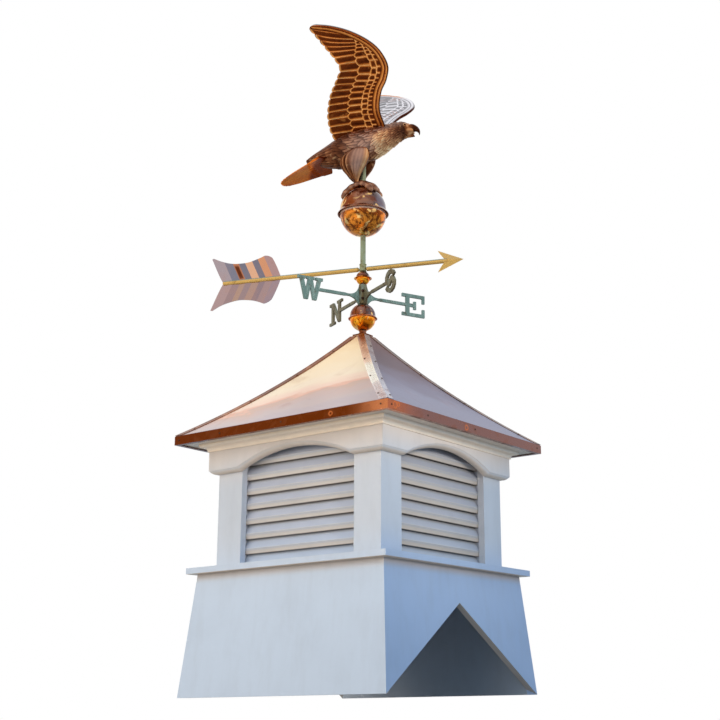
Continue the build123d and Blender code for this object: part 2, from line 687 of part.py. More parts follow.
def compass_east_west():
    """The casting with the E, the W and the hub, bored for the mast."""
    east, west = compass_pair(letter_e(), letter_w(), LETTER_W_WIDTH)
    arms = Pos(0, 0, COMPASS_HEIGHT) * (east + west) - compass_seats()
    bore = Pos(0, 0, LOWER_DOME_CENTRE) * extrude(Circle(BORE), SMALL_BALL_CENTRE - LOWER_DOME_CENTRE)
    casting = (arms + compass_hub()) - bore
    return casting.rotate(Axis.Z, EAST_ANGLE)


def compass_north_south():
    """The two arms with the N and the S, fitted to the hub."""
    taken = compass_seats() + compass_hub()
    arms = [Pos(0, 0, COMPASS_HEIGHT) * arm - taken
            for arm in compass_pair(letter_s(), letter_n(), LETTER_N_WIDTH)]
    return Compound(arms).rotate(Axis.Z, EAST_ANGLE - 90)


def vane_frame(shape):
    """A piece of the vane, modelled heading along +X, turned to its heading at rest."""
    return shape.rotate(Axis.Z, VANE_ANGLE)


def vane_tube():
    """The tube that turns on the mast, with the collar that the arrow is soldered to."""
    tube = extrude(Circle(TUBE_RADIUS), PERCH_TOP + TUBE_IN_EAGLE - TUBE_BOTTOM)
    collar = extrude(Circle(COLLAR_RADIUS), COLLAR_HEIGHT)
    bore = extrude(Circle(MAST_RADIUS + RUNNING_GAP), VANE_FOOT - TUBE_BOTTOM)
    return vane_frame(Pos(0, 0, TUBE_BOTTOM) * (tube + collar - bore))


def arrow_head_blank():
    """A barbed head heading along +X, thick at its middle and sharp at its point and barbs."""
    tip, half = ARROW_TIP, HEAD_SPAN / 2
    back = tip - HEAD_LENGTH
    outline = Polyline((tip, 0), (back, half), (back + HEAD_NOTCH, 0), (back, -half), close=True)
    plate = extrude(Plane.XZ * make_face(outline), HEAD_THICK, both=True)
    taper = Polyline((tip, 0, 0), (back - 1, -HEAD_THICK / 2, 0), (back - 1, HEAD_THICK / 2, 0), close=True)
    wedge = extrude(make_face(taper), half, both=True)
    edge = half + 2
    ridge = yz_prism([(0, edge), (HEAD_THICK / 2, 0), (0, -edge), (-HEAD_THICK / 2, 0)], tip + 1)
    return Pos(0, 0, ARROW_HEIGHT) * (plate & wedge & ridge)


def arrow_shaft():
    """The arrow's rod in two lengths, soldered to the collar."""
    reach = ARROW_TIP - HEAD_LENGTH + HEAD_NOTCH
    front = Pos(0, 0, ARROW_HEIGHT) * extrude(Plane.YZ * Circle(ARROW_RADIUS), reach)
    back = Pos(-ARROW_TAIL, 0, ARROW_HEIGHT) * extrude(Plane.YZ * Circle(ARROW_RADIUS), ARROW_TAIL)
    core = Pos(0, 0, TUBE_BOTTOM) * extrude(Circle(COLLAR_RADIUS), COLLAR_HEIGHT)
    return vane_frame(Compound([front - core - arrow_head_blank(), back - core]))


def pressed_sheet():
    """A sheet folded to and fro in straight bands that run along the fletching's back edge."""
    slope = hypot(FLETCH_SWEEP, FLETCH_CORNER_HALF)
    along = (-FLETCH_SWEEP / slope, 0, FLETCH_CORNER_HALF / slope)
    across = (FLETCH_CORNER_HALF / slope, 0, FLETCH_SWEEP / slope)
    width = FLETCH_LENGTH * across[0]
    pitch = width / FLETCH_BANDS
    folds = [((index - 1) * pitch, FLETCH_PRESS * (-1) ** index / 2) for index in range(FLETCH_BANDS + 4)]
    near = [(place, height - FLETCH_THICK / 2) for place, height in folds]
    far = [(place, height + FLETCH_THICK / 2) for place, height in reversed(folds)]
    plane = Plane(origin=(-FLETCH_NOTCH, 0, 0), x_dir=across, z_dir=along)
    return extrude(plane * make_face(Polyline(near + far, close=True)), 2 * FLETCH_LENGTH, both=True)


def fletching():
    """The copper tail of the arrow: a pressed sheet on each side of the rod."""
    front = FLETCH_LENGTH - FLETCH_NOTCH
    peak = front - FLETCH_NOSE
    waist = -FLETCH_NOTCH + FLETCH_WAIST_PLACE
    corner = -FLETCH_NOTCH - FLETCH_SWEEP
    bulge = (front - 0.34 * FLETCH_NOSE, 0.66 * FLETCH_PEAK_HALF)
    outline = Wire([
        ThreePointArc((front, 0), bulge, (peak, FLETCH_PEAK_HALF)),
        ThreePointArc((peak, FLETCH_PEAK_HALF), (waist, FLETCH_WAIST_HALF), (corner, FLETCH_CORNER_HALF)),
        Line((corner, FLETCH_CORNER_HALF), (-FLETCH_NOTCH, 0)),
        Line((-FLETCH_NOTCH, 0), (front, 0)),
    ])
    face = make_face(outline)
    tip = face.vertices().sort_by(Axis.X)[0]
    face = fillet(tip, FLETCH_CORNER_ROUND)
    blank = extrude(Plane.XZ * face, FLETCH_THICK + FLETCH_PRESS, both=True)
    rod = Pos(-ARROW_TAIL - OVERCUT, 0, 0) * extrude(Plane.YZ * Circle(ARROW_RADIUS), ARROW_TAIL)
    half = (blank & pressed_sheet()) - rod
    both = Compound([half, half.mirror(Plane.XY)])
    return vane_frame(Pos(0, 0, ARROW_HEIGHT) * both)


def eagle_point(forward, up, aside=0.0):
    """A point of the eagle in hundredths of its length, measured from the top of its ball."""
    return (forward * EAGLE_UNIT, aside * EAGLE_UNIT, PERCH_TOP + up * EAGLE_UNIT)


def eagle_section(forward, up, wide, high, lean):
    """An ellipse across the eagle's length at a point, leaning back by a slope."""
    plane = Plane(origin=eagle_point(forward, up), x_dir=(0, 1, 0), z_dir=(1, 0, lean))
    return plane * Ellipse(wide * EAGLE_UNIT, high * EAGLE_UNIT)


def eagle_trunk():
    """The trunk, neck and head as one loft from the rump to the root of the beak."""
    return loft([eagle_section(*ring, TRUNK_LEAN) for ring in TRUNK_RINGS])


def eagle_beak():
    """An open beak: the hooked upper half and the shorter lower half."""
    upper = loft([eagle_section(*ring) for ring in UPPER_BEAK_RINGS])
    lower = loft([eagle_section(*ring) for ring in LOWER_BEAK_RINGS])
    return upper + lower


def eagle_body():
    """The trunk with its beak and a socket in its belly for the vane's tube."""
    socket = Pos(0, 0, PERCH_TOP) * extrude(Circle(TUBE_RADIUS), TUBE_IN_EAGLE)
    return vane_frame(eagle_trunk() + eagle_beak() - socket)


def eagle_tail():
    """The spread tail: a fan of overlapping feathers with rounded ends, arched across its width."""
    tip_radius = TAIL_LAP * TAIL_END_HALF / TAIL_FEATHERS
    blades = None
    for index in range(TAIL_FEATHERS):
        share = 2 * index / (TAIL_FEATHERS - 1) - 1
        reach = TAIL_LENGTH * (1 - TAIL_ROUNDING * share ** 2)
        root = Pos(0, TAIL_ROOT_HALF * share) * Circle(0.8 * tip_radius)
        end = Pos(-reach, TAIL_END_HALF * share) * Circle(tip_radius)
        blade = make_hull([*root.edges(), *end.edges()])
        blades = blade if blades is None else blades + blade
    half_sheet = EAGLE_SHEET / 2
    ring = Plane.YZ * Circle(TAIL_BEND + half_sheet) - Plane.YZ * Circle(TAIL_BEND - half_sheet)
    sheet = Pos(-TAIL_LENGTH / 2, 0, -TAIL_BEND) * extrude(ring, TAIL_LENGTH, dir=(1, 0, 0), both=True)
    fan = sheet & extrude(blades, TAIL_BEND / 2, both=True)
    fan = fan.rotate(Axis.Y, -TAIL_SLOPE)
    return vane_frame(Pos(*eagle_point(*TAIL_ROOT)) * fan - eagle_trunk())


def toe(start, middle, end, radius):
    """A round toe bent along an arc through three points."""
    arc = ThreePointArc(start, middle, end)
    section = Plane(origin=start, z_dir=arc % 0) * Circle(radius)
    return sweep(section, path=arc)


def eagle_leg(side):
    """One feathered thigh with its shank and its toes, seated on the ball."""
    leg = loft([Pos(*eagle_point(forward, up, aside * side)) * Ellipse(deep * EAGLE_UNIT, wide * EAGLE_UNIT)
                for forward, up, deep, wide, aside in LEG_RINGS])
    place, height, spread = ANKLE
    spread = spread * side
    ankle = eagle_point(place, height, spread)
    rear_bend, rear_end = eagle_point(*REAR_TOE_BEND, spread), eagle_point(*REAR_TOE_END, spread)
    leg = leg + toe(ankle, rear_bend, rear_end, REAR_TOE_RADIUS)
    for turn in TOE_TURNS:
        heading = radians(turn * side)
        bend, claw = [eagle_point(place + reach * cos(heading), up, spread + reach * sin(heading))
                      for reach, up in (TOE_BEND, TOE_END)]
        leg = leg + toe(ankle, bend, claw, TOE_RADIUS)
    return leg


def eagle_legs():
    """Both legs, clear of the tube that passes between them and seated on the ball."""
    ball = Pos(0, 0, PERCH_DOME_CENTRE) * Sphere(PERCH_RADIUS + SEAT_GAP)
    tube = Pos(0, 0, PERCH_TOP) * extrude(Circle(TUBE_RADIUS + SEAT_GAP), TUBE_IN_EAGLE)
    middle = Pos(0, 0, PERCH_TOP) * Box(EAGLE_LENGTH, 2 * SEAT_GAP, EAGLE_LENGTH)
    taken = eagle_trunk() + ball + tube + middle
    return Compound([vane_frame(eagle_leg(side) - taken) for side in (-1, 1)])


def wing_section(lead, trail):
    """Section of a wing from front to back edge: a round bead and a thin arched sheet behind it."""
    chord = (lead - trail).length
    across = (lead - trail) / chord
    rise = WING_CAMBER * chord
    half = EAGLE_SHEET / 4
    bead = min(WING_BEAD, 0.2 * chord)
    up = Vector(0, 0, 1)
    shoulder = lead - across * bead
    middle = (shoulder + trail) / 2
    top, low = shoulder + up * bead, shoulder - up * bead
    back_top, back_low = trail + up * half, trail - up * half
    return make_face(Wire([
        ThreePointArc(top, middle + up * (rise + half), back_top),
        Line(back_top, back_low),
        ThreePointArc(back_low, middle + up * (rise - half), low),
        ThreePointArc(low, lead, top),
    ]))


def eagle_wing(side):
    """A raised, cambered wing with notches between the tips of its flight feathers."""
    leads = [Vector(*point) * EAGLE_UNIT for point in FRONT_EDGE]
    trails = [Vector(*point) * EAGLE_UNIT for point in BACK_EDGE]
    wing = loft([wing_section(lead, trail) for lead, trail in zip(leads, trails)])
    edge = Spline(trails)
    for index in range(1, WING_FEATHERS):
        place = edge @ (index / WING_FEATHERS)
        along = edge % (index / WING_FEATHERS) * NICK_DEPTH
        inwards = Vector(along.Y, -along.X)
        outside = place - inwards
        nick = Polyline(place + inwards, outside + along, outside - along, close=True)
        wing = wing - extrude(make_face(nick), 3 * WING_BEAD, both=True)
    wing = Pos(0, 0, PERCH_TOP + WING_ROOT_HEIGHT) * wing.rotate(Axis.X, WING_RISE)
    if side < 0:
        wing = wing.mirror(Plane.XZ)
    return vane_frame(wing - eagle_trunk())


def build():
    """Every piece by its node name."""
    parts = {}
    sides = ("front", "right", "back", "left")
    for quarter, side in enumerate(sides):
        parts[f"base_{side}"] = base_panel(quarter, notched=side in ("left", "right"))
        parts[f"louvre_{side}"] = louvre_panel(quarter)
        parts[f"frieze_{side}"] = frieze_board(quarter)
        parts[f"roof_panel_{side}"] = roof_panel(quarter)
    corners = ("front_left", "front_right", "back_right", "back_left")
    for quarter, corner in enumerate(corners):
        parts[f"post_{corner}"] = corner_post(quarter)
    parts["ledge"] = ledge()
    parts["crown"] = crown()
    parts["soffit"] = soffit()
    parts["fascia"] = fascia()
    parts["roof_deck"] = roof_deck()
    parts["mast_block"] = mast_block()
    parts["hip_caps"] = hip_caps()
    parts["roof_cap"] = roof_cap()
    parts["mast"] = mast()
    parts["lower_ball_bowl"] = ball_bowl(LOWER_BALL_CENTRE, LOWER_BALL_RADIUS, LOWER_BRIM_SEAT, BORE)
    parts["lower_ball_dome"] = ball_dome(LOWER_BALL_CENTRE, LOWER_BALL_RADIUS, LOWER_BRIM_RADIUS,
                                         LOWER_BRIM_SEAT, LOWER_DOME_RISE, BORE)
    parts["compass_east_west"] = compass_east_west()
    parts["compass_north_south"] = compass_north_south()
    parts["small_ball"] = Compound([
        ball_bowl(SMALL_BALL_CENTRE, SMALL_BALL_RADIUS, SMALL_BRIM_SEAT, BORE),
        ball_dome(SMALL_BALL_CENTRE, SMALL_BALL_RADIUS, SMALL_BRIM_RADIUS,
                  SMALL_BRIM_SEAT, SMALL_DOME_RISE, BORE)])
    parts["vane_tube"] = vane_tube()
    parts["arrow_shaft"] = arrow_shaft()
    parts["arrow_head"] = vane_frame(arrow_head_blank())
    parts["fletching"] = fletching()
    parts["perch_ball_bowl"] = ball_bowl(PERCH_CENTRE, PERCH_RADIUS, PERCH_BRIM_SEAT, TUBE_RADIUS)
    parts["perch_ball_dome"] = ball_dome(PERCH_CENTRE, PERCH_RADIUS, PERCH_BRIM_RADIUS,
                                         PERCH_BRIM_SEAT, PERCH_DOME_RISE, TUBE_RADIUS)
    parts["eagle_body"] = eagle_body()
    parts["eagle_tail"] = eagle_tail()
    parts["eagle_legs"] = eagle_legs()
    parts["wing_left"] = eagle_wing(1)
    parts["wing_right"] = eagle_wing(-1)
    return parts


os.makedirs("parts", exist_ok=True)
for node, shape in build().items():
    shape.label = node
    export_step(shape, f"parts/{node}.step")
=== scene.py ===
"""Looks of the barn cupola with its eagle weathervane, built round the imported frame, in metres."""

import logging
import math
from dataclasses import dataclass, field
from enum import Enum
from typing import Optional, Union

import bmesh
import bpy
import numpy as np
from mathutils import Matrix, Vector


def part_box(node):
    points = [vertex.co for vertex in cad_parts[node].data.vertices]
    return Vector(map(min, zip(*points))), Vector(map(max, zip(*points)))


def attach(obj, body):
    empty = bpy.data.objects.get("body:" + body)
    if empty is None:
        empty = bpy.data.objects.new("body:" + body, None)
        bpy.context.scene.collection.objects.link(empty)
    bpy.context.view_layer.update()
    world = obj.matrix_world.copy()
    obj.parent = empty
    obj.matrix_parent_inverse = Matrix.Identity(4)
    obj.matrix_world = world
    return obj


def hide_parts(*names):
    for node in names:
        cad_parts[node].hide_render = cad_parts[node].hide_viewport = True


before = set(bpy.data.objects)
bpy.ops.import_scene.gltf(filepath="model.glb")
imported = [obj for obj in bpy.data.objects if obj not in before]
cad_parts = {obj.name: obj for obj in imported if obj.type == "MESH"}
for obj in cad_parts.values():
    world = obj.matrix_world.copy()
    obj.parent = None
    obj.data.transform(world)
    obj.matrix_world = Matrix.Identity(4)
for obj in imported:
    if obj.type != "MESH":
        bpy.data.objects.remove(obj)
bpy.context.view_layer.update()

Array = np.ndarray
Triple = tuple[float, float, float]
Colour = Triple
Material, NodeTree, Socket = bpy.types.Material, bpy.types.NodeTree, bpy.types.NodeSocket
Value = Union[float, tuple, Socket]
log = logging.getLogger("cupola")

VANE_HEADING = math.radians(20.0)
QUARTER = math.pi / 2
MAST_BORE = 0.0052
WELD = 1e-7  # points nearer than this become one
SPECK = 1e-8  # faces smaller than this are left out


class Body(str, Enum):
    """The two rigid bodies of the part."""

    CUPOLA = "cupola"
    VANE = "vane"


class Side(Enum):
    """The four sides of the cupola, by quarter turns from the front."""

    FRONT = 0
    RIGHT = 1
    BACK = 2
    LEFT = 3

    @property
    def word(self) -> str:
        """The side's name as the nodes spell it."""
        return self.name.lower()


def srgb(red: int, green: int, blue: int) -> Colour:
    """A colour given in the usual 0 to 255 steps, as linear light.

    Args:
        red, green, blue: the three display values.

    Returns:
        The three linear values.
    """
    steps = np.array([red, green, blue]) / 255.0
    linear = np.where(steps <= 0.04045, steps / 12.92, ((steps + 0.055) / 1.055) ** 2.4)
    return tuple(float(value) for value in linear)


# Surfaces worked out as whole arrays


def ease(low: float, high: float, value: Array) -> Array:
    """A smooth step: 0 below low, 1 above high, and 3t^2 - 2t^3 between them."""
    share = np.clip((value - low) / (high - low), 0.0, 1.0)
    return share * share * (3.0 - 2.0 * share)


def stacked(*parts: Union[float, Array]) -> Array:
    """Arrays stretched to one shape, as the parts of each point, such as x, y and z."""
    return np.stack(np.broadcast_arrays(*parts), axis=-1)


def bell(value: Array, width: float) -> Array:
    """A bell curve: 1 where the value is 0, and exp(-(value / width)^2) elsewhere."""
    return np.exp(-((value / width) ** 2))


def curve_through(points: Array, place: Array) -> Array:
    """Points of the smooth curve through given points.

    Each stretch is the cubic through four neighbours whose slope at a point is half the step
    between the points on either side of it.

    Args:
        points: the given points, one a row.
        place: where along the curve, from 0 at the first point to 1 at the last.

    Returns:
        One row for each place.
    """
    last = len(points) - 1
    along = np.clip(place, 0.0, 1.0) * last
    index = np.minimum(along.astype(int), last - 1)
    part = (along - index)[..., None]
    padded = np.vstack([2 * points[0] - points[1], points, 2 * points[-1] - points[-2]])
    before, start, end, after = (padded[index + step] for step in range(4))
    return 0.5 * (2 * start + (end - before) * part + (2 * before - 5 * start + 4 * end - after) * part ** 2
        + (3 * start - before - 3 * end + after) * part ** 3)


def scattered_cells(along: Array, around: Array, per_row: int) -> tuple[Array, Array, Array]:
    """Irregular cells, like feathers that lie over each other: the nearest of shifted centres.

    Each lattice cell has one centre, moved off its middle by sines of its row and column, and
    every second row is half a step aside. A point belongs to the nearest centre.

    Args:
        along: place along the rows, in rows.
        around: place across, in cells of a row, which closes after per_row.
        per_row: how many cells a row has.

    Returns:
        How far behind its centre each point is, in rows, how far it is from its cell's border, and
        a tone from -1 to 1 for its cell.
    """
    row, column = np.floor(along), np.floor(around)
    near = np.full(along.shape, 9.0)
    second = np.full(along.shape, 9.0)
    behind, tone = np.zeros(along.shape), np.zeros(along.shape)
    for down in (-1, 0, 1):
        for side in (-2, -1, 0, 1, 2):
            this_row, this_column = row + down, column + side
            seed = this_row * 12.9898 + (this_column % per_row) * 78.233
            centre_row = this_row + 0.5 + 0.34 * np.sin(seed * 1.7)
            centre_column = this_column + 0.5 + 0.5 * (this_row % 2) + 0.30 * np.sin(seed * 3.1)
            offset = along - centre_row
            distance = np.hypot(offset, around - centre_column)
            closer = distance < near
            second = np.where(closer, near, np.minimum(second, distance))
            behind = np.where(closer, offset, behind)
            tone = np.where(closer, np.sin(seed * 5.3), tone)
            near = np.where(closer, distance, near)
    return behind, second - near, tone


def flat_distance(points: Array, line: Array) -> Array:
    """How far points of a plane are from a line given by many points.

    Args:
        points: the points, with their two coordinates last.
        line: the line's points in order.

    Returns:
        The distance of each point to the nearest stretch of the line.
    """
    start, step = line[:-1], np.diff(line, axis=0)
    offset = points[..., None, :] - start
    share = np.clip((offset * step).sum(-1) / (step ** 2).sum(-1), 0, 1)
    return np.linalg.norm(offset - share[..., None] * step, axis=-1).min(-1)


def grid_quads(rows: int, columns: int, wrap_rows: bool = False, wrap_columns: bool = False) -> Array:
    """Corner numbers of the squares of a grid.

    Args:
        rows, columns: the grid's points each way.
        wrap_rows, wrap_columns: whether the last row or column joins the first.

    Returns:
        Four corner numbers a row.
    """
    row = np.arange(rows if wrap_rows else rows - 1)
    column = np.arange(columns if wrap_columns else columns - 1)
    row, column = np.meshgrid(row, column, indexing="ij")
    next_row, next_column = (row + 1) % rows, (column + 1) % columns
    corners = [row * columns + column, row * columns + next_column, next_row * columns + next_column,
        next_row * columns + column]
    return stacked(*corners).reshape(-1, 4)


@dataclass
class Surface:
    """Points, four-cornered faces and values at the points of one or more closed skins."""

    points: Array
    faces: Array
    marks: dict[str, Array] = field(default_factory=dict)

    def moved(self, offset: Triple) -> "Surface":
        """The surface shifted by an offset."""
        return Surface(self.points + np.array(offset), self.faces, self.marks)

    def turned(self, angle: float) -> "Surface":
        """The surface turned about the vertical axis through the origin.

        Args:
            angle: how far, in radians.

        Returns:
            The turned surface.
        """
        cosine, sine = math.cos(angle), math.sin(angle)
        turn = np.array([[cosine, sine, 0], [-sine, cosine, 0], [0, 0, 1]])
        return Surface(self.points @ turn, self.faces, self.marks)

    def mirrored(self) -> "Surface":
        """The surface seen in the upright plane through the X axis."""
        return Surface(self.points * np.array([1.0, -1.0, 1.0]), self.faces[:, ::-1], self.marks)

    def facing(self, way: Vector) -> "Surface":
        """The surface turned so that its top faces a way."""
        turn = np.array(way.normalized().to_track_quat("Z", "Y").to_matrix())
        return Surface(self.points @ turn.T, self.faces, self.marks)


def together(*every: Surface) -> Surface:
    """Surfaces side by side in one mesh.

    Args:
        every: the surfaces, in order.

    Returns:
        The joined surface. A value that one of them lacks is 0 there.
    """
    starts = np.cumsum([0] + [len(one.points) for one in every[:-1]])
    names = sorted({name for one in every for name in one.marks})
    marks = {name: np.concatenate([one.marks.get(name, np.zeros(len(one.points))) for one in every])
        for name in names}
    faces = np.vstack([one.faces + start for one, start in zip(every, starts)])
    return Surface(np.vstack([one.points for one in every]), faces, marks)


def wound(rings: Array, closed: bool = False, marks: Optional[dict[str, Array]] = None) -> Surface:
    """Rings of points joined into a skin.

    Args:
        rings: the points, as rows by columns by 3.
        closed: whether the last ring joins the first, as in a hollow shell.
        marks: values at the points, in order.

    Returns:
        The skin.
    """
    return Surface(rings.reshape(-1, 3), grid_quads(len(rings), rings.shape[1], closed, True), marks or {})


def capped(rings: Array, marks: dict[str, Array]) -> Surface:
    """Rings of points, closed to the middle of the first and of the last.

    Args:
        rings: the points, as rows by columns by 3.
        marks: values on the same rows and columns.

    Returns:
        The closed surface.
    """
    columns = rings.shape[1]
    ends = [np.repeat(rings[index].mean(0)[None, None], columns, axis=1) for index in (0, -1)]
    points = np.concatenate([ends[0], rings, ends[1]])
    spread = {name: np.concatenate([value[:1], value, value[-1:]]).ravel() for name, value in marks.items()}
    return wound(points, marks=spread)


def round_angles(count: int) -> Array:
    """Angles spaced evenly round a circle, from 0."""
    return np.linspace(0, 2 * np.pi, count, endpoint=False)


def lathe(profile: Array, segments: int, closed: bool = False) -> Surface:
    """A profile turned about the vertical axis: (r, z) becomes (r cos a, r sin a, z).

    Args:
        profile: radius and height of each ring.
        segments: points round each ring.
        closed: whether the last ring joins the first, as in a hollow shell.

    Returns:
        The turned surface. A ring of no radius closes it.
    """
    angle = round_angles(segments)
    radius, height = profile[:, 0][:, None], profile[:, 1][:, None]
    points = stacked(radius * np.cos(angle), radius * np.sin(angle), height)
    return wound(points, closed)


def swept(path: Array, wide: Array, high: Array, segments: int, up: Triple = (0, 0, 1)) -> Surface:
    """A closed tube along a path: at each point an ellipse square to the path.

    Its points are p + wide cos(a) side + high sin(a) top, where side is square to the path and to
    up, and top is square to both.

    Args:
        path: the centre line's points.
        wide, high: half width and half height at each of them.
        segments: points round each ellipse.
        up: a direction that the path never follows.

    Returns:
        The tube, closed to a point at both ends.
    """
    ahead = np.gradient(path, axis=0)
    ahead /= np.linalg.norm(ahead, axis=1, keepdims=True)
    side = np.cross(ahead, np.array(up, float))
    side /= np.linalg.norm(side, axis=1, keepdims=True)
    top = np.cross(side, ahead)
    angle = round_angles(segments)[None, :, None]
    rings = (path[:, None] + wide[:, None, None] * np.cos(angle) * side[:, None]
        + high[:, None, None] * np.sin(angle) * top[:, None])
    ends = [np.repeat(path[index][None, None], segments, axis=1) for index in (0, -1)]
    rings = np.concatenate([ends[0], rings, ends[1]])
    return wound(rings)


def shell(outer: Array, inner: Array, marks: Optional[dict[str, Array]] = None) -> Surface:
    """A thin closed sheet between two grids of points, whose four edges are closed.

    Args:
        outer, inner: the two skins, as rows by columns by 3.
        marks: values on the grid, given to both skins.

    Returns:
        The closed sheet.
    """
    rows, columns = outer.shape[:2]
    ring = np.concatenate([outer, inner[:, ::-1]], axis=1)
    faces = grid_quads(rows, 2 * columns, False, True)
    column = np.arange(columns - 1)
    far = 2 * columns - 1 - column
    first, last = (stacked(start + column, start + column + 1, start + far - 1, start + far)
        for start in (0, (rows - 1) * 2 * columns))
    both = {name: np.concatenate([value, value[:, ::-1]], axis=1).ravel() for name, value in (marks or {}).items()}
    return Surface(ring.reshape(-1, 3), np.vstack([faces, first[:, ::-1], last]), both)


def link(thing: bpy.types.Object) -> None:
    """Puts an object into the scene."""
    bpy.context.scene.collection.objects.link(thing)


def add_piece(name: str, surface: Surface, body: Body, material: Material,
        replaces: tuple[str, ...] = (), sharp: float = 40.0) -> bpy.types.Object:
    """Puts a surface into the scene as a piece of the part.

    Args:
        name: the piece's name.
        surface: its points and faces, in place.
        body: the body it rides on.
        material: the finish.
        replaces: the nodes that it stands for.
        sharp: the angle in degrees above which an edge stays sharp.

    Returns:
        The new object.
    """
    mesh = bpy.data.meshes.new(name)
    mesh.from_pydata(surface.points.tolist(), [], surface.faces.tolist())
    for mark, values in surface.marks.items():
        mesh.attributes.new(mark, "FLOAT", "POINT").data.foreach_set("value", values.astype(np.float32))
    work = bmesh.new()
    work.from_mesh(mesh)
    bmesh.ops.remove_doubles(work, verts=work.verts, dist=WELD)
    bmesh.ops.dissolve_degenerate(work, edges=work.edges, dist=SPECK)
    bmesh.ops.recalc_face_normals(work, faces=work.faces)
    work.to_mesh(mesh)
    work.free()
    mesh.shade_smooth()
    mesh.set_sharp_from_angle(angle=math.radians(sharp))
    mesh.materials.append(material)
    piece = bpy.data.objects.new(name, mesh)
    link(piece)
    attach(piece, body.value)
    if replaces:
        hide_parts(*replaces)
    log.info("%s: %d points", name, len(mesh.vertices))
    return piece


# Finishes


class Sketch:
    """Adds nodes to one node tree and joins their sockets."""

    def __init__(self, tree: NodeTree) -> None:
        """Starts in an empty tree."""
        self.tree = tree
        self.count = 0

    def add(self, kind: str, **settings: object) -> bpy.types.Node:
        """A new node with some of its settings.

        Args:
            kind: the node's type.
            settings: properties to set on it.

        Returns:
            The node.
        """
        node = self.tree.nodes.new(kind)
        node.location = (180 * (self.count % 12), -220 * (self.count // 12))
        self.count += 1
        for name, value in settings.items():
            setattr(node, name, value)
        return node

    def feed(self, socket: Socket, value: Value) -> None:
        """Joins an output to an input, or sets a plain value on it.

        Args:
            socket: the input.
            value: the output, or the number, colour or vector.
        """
        if isinstance(value, Socket):
            self.tree.links.new(value, socket)
        elif isinstance(value, tuple) and socket.type == "RGBA" and len(value) == 3:
            socket.default_value = (*value, 1.0)
        else:
            socket.default_value = value

    def wired(self, kind: str, values: dict, output: int = 0, **settings: object) -> Socket:
        """A new node with its inputs fed.

        Args:
            kind: the node's type.
            values: what goes into each input, by its name or number.
            output: number of the output that is read.
            settings: the node's own settings.

        Returns:
            That output.
        """
        node = self.add(kind, **settings)
        for name, value in values.items():
            self.feed(node.inputs[name], value)
        return node.outputs[output]

    def calc(self, operation: str, first: Value, second: Value = 0.0) -> Socket:
        """Two values put through a sum that the Math node names."""
        return self.wired("ShaderNodeMath", {0: first, 1: second}, operation=operation)

    def plus(self, first: Value, second: Value) -> Socket:
        """The two values added."""
        return self.calc("ADD", first, second)

    def less(self, first: Value, second: Value) -> Socket:
        """The first value less the second."""
        return self.calc("SUBTRACT", first, second)

    def times(self, first: Value, second: Value) -> Socket:
        """The two values multiplied."""
        return self.calc("MULTIPLY", first, second)

    def sway(self, noise: Value, size: float) -> Socket:
        """Noise about a half, made to go up and down about 0 by half the size."""
        return self.times(self.less(noise, 0.5), size)

    def blend(self, share: Value, first: Value, second: Value) -> Socket:
        """The first colour at a share of 0, the second at 1, and a mix between."""
        return self.wired("ShaderNodeMix", {0: share, 6: first, 7: second}, 2, data_type="RGBA")

    def either(self, share: Value, first: Value, second: Value) -> Socket:
        """One shader at a share of 0, and another at 1."""
        return self.wired("ShaderNodeMixShader", {0: share, 1: first, 2: second})

    def tint(self, colour: Value, mask: Value, weight: float, tone: Value) -> Socket:
        """The colour, with a weight of a tone laid over it where the mask is."""
        return self.blend(self.times(mask, weight), colour, tone)

    def remap(self, value: Value, low: Value, high: Value, out_low: float = 0.0, out_high: float = 1.0) -> Socket:
        """A value eased from the range low to high into the range out_low to out_high."""
        given = dict(enumerate((value, low, high, out_low, out_high)))
        return self.wired("ShaderNodeMapRange", given, interpolation_type="SMOOTHSTEP")

    def noise(self, place: Value, scale: Value, detail: float = 3.0, rough: float = 0.5,
            bend: float = 0.0) -> Socket:
        """Cloudy noise from 0 to 1, read at a place."""
        given = {"Vector": place, "Scale": scale, "Detail": detail, "Roughness": rough, "Distortion": bend}
        return self.wired("ShaderNodeTexNoise", given)

    def stretched(self, place: Value, scale: Triple) -> Socket:
        """Coordinates scaled along each axis."""
        return self.wired("ShaderNodeMapping", {"Vector": place, "Scale": scale})

    def split(self, vector: Value) -> tuple[Socket, ...]:
        """The x, y and z of a vector."""
        return tuple(self.wired("ShaderNodeSeparateXYZ", {0: vector}).node.outputs)

    def ramp(self, value: Value, stops: list[tuple], steps: bool = False) -> Socket:
        """A colour read from a row of colour stops.

        Args:
            value: where to read, from 0 to 1.
            stops: the place of each with its colour, or with its three display values.
            steps: whether the colours change at once.

        Returns:
            The colour.
        """
        node = self.add("ShaderNodeValToRGB")
        row = node.color_ramp
        row.interpolation = "CONSTANT" if steps else "EASE"
        for index, (place, *colour) in enumerate(stops):
            stop = row.elements[index] if index < 2 else row.elements.new(place)
            stop.position = place
            stop.color = (*(colour[0] if len(colour) == 1 else srgb(*colour)), 1.0)
        self.feed(node.inputs[0], value)
        return node.outputs[0]

    def group(self, tree: NodeTree, **values: Value) -> Socket:
        """A placed node group, with its inputs by name."""
        return self.wired("ShaderNodeGroup", values, node_tree=tree)


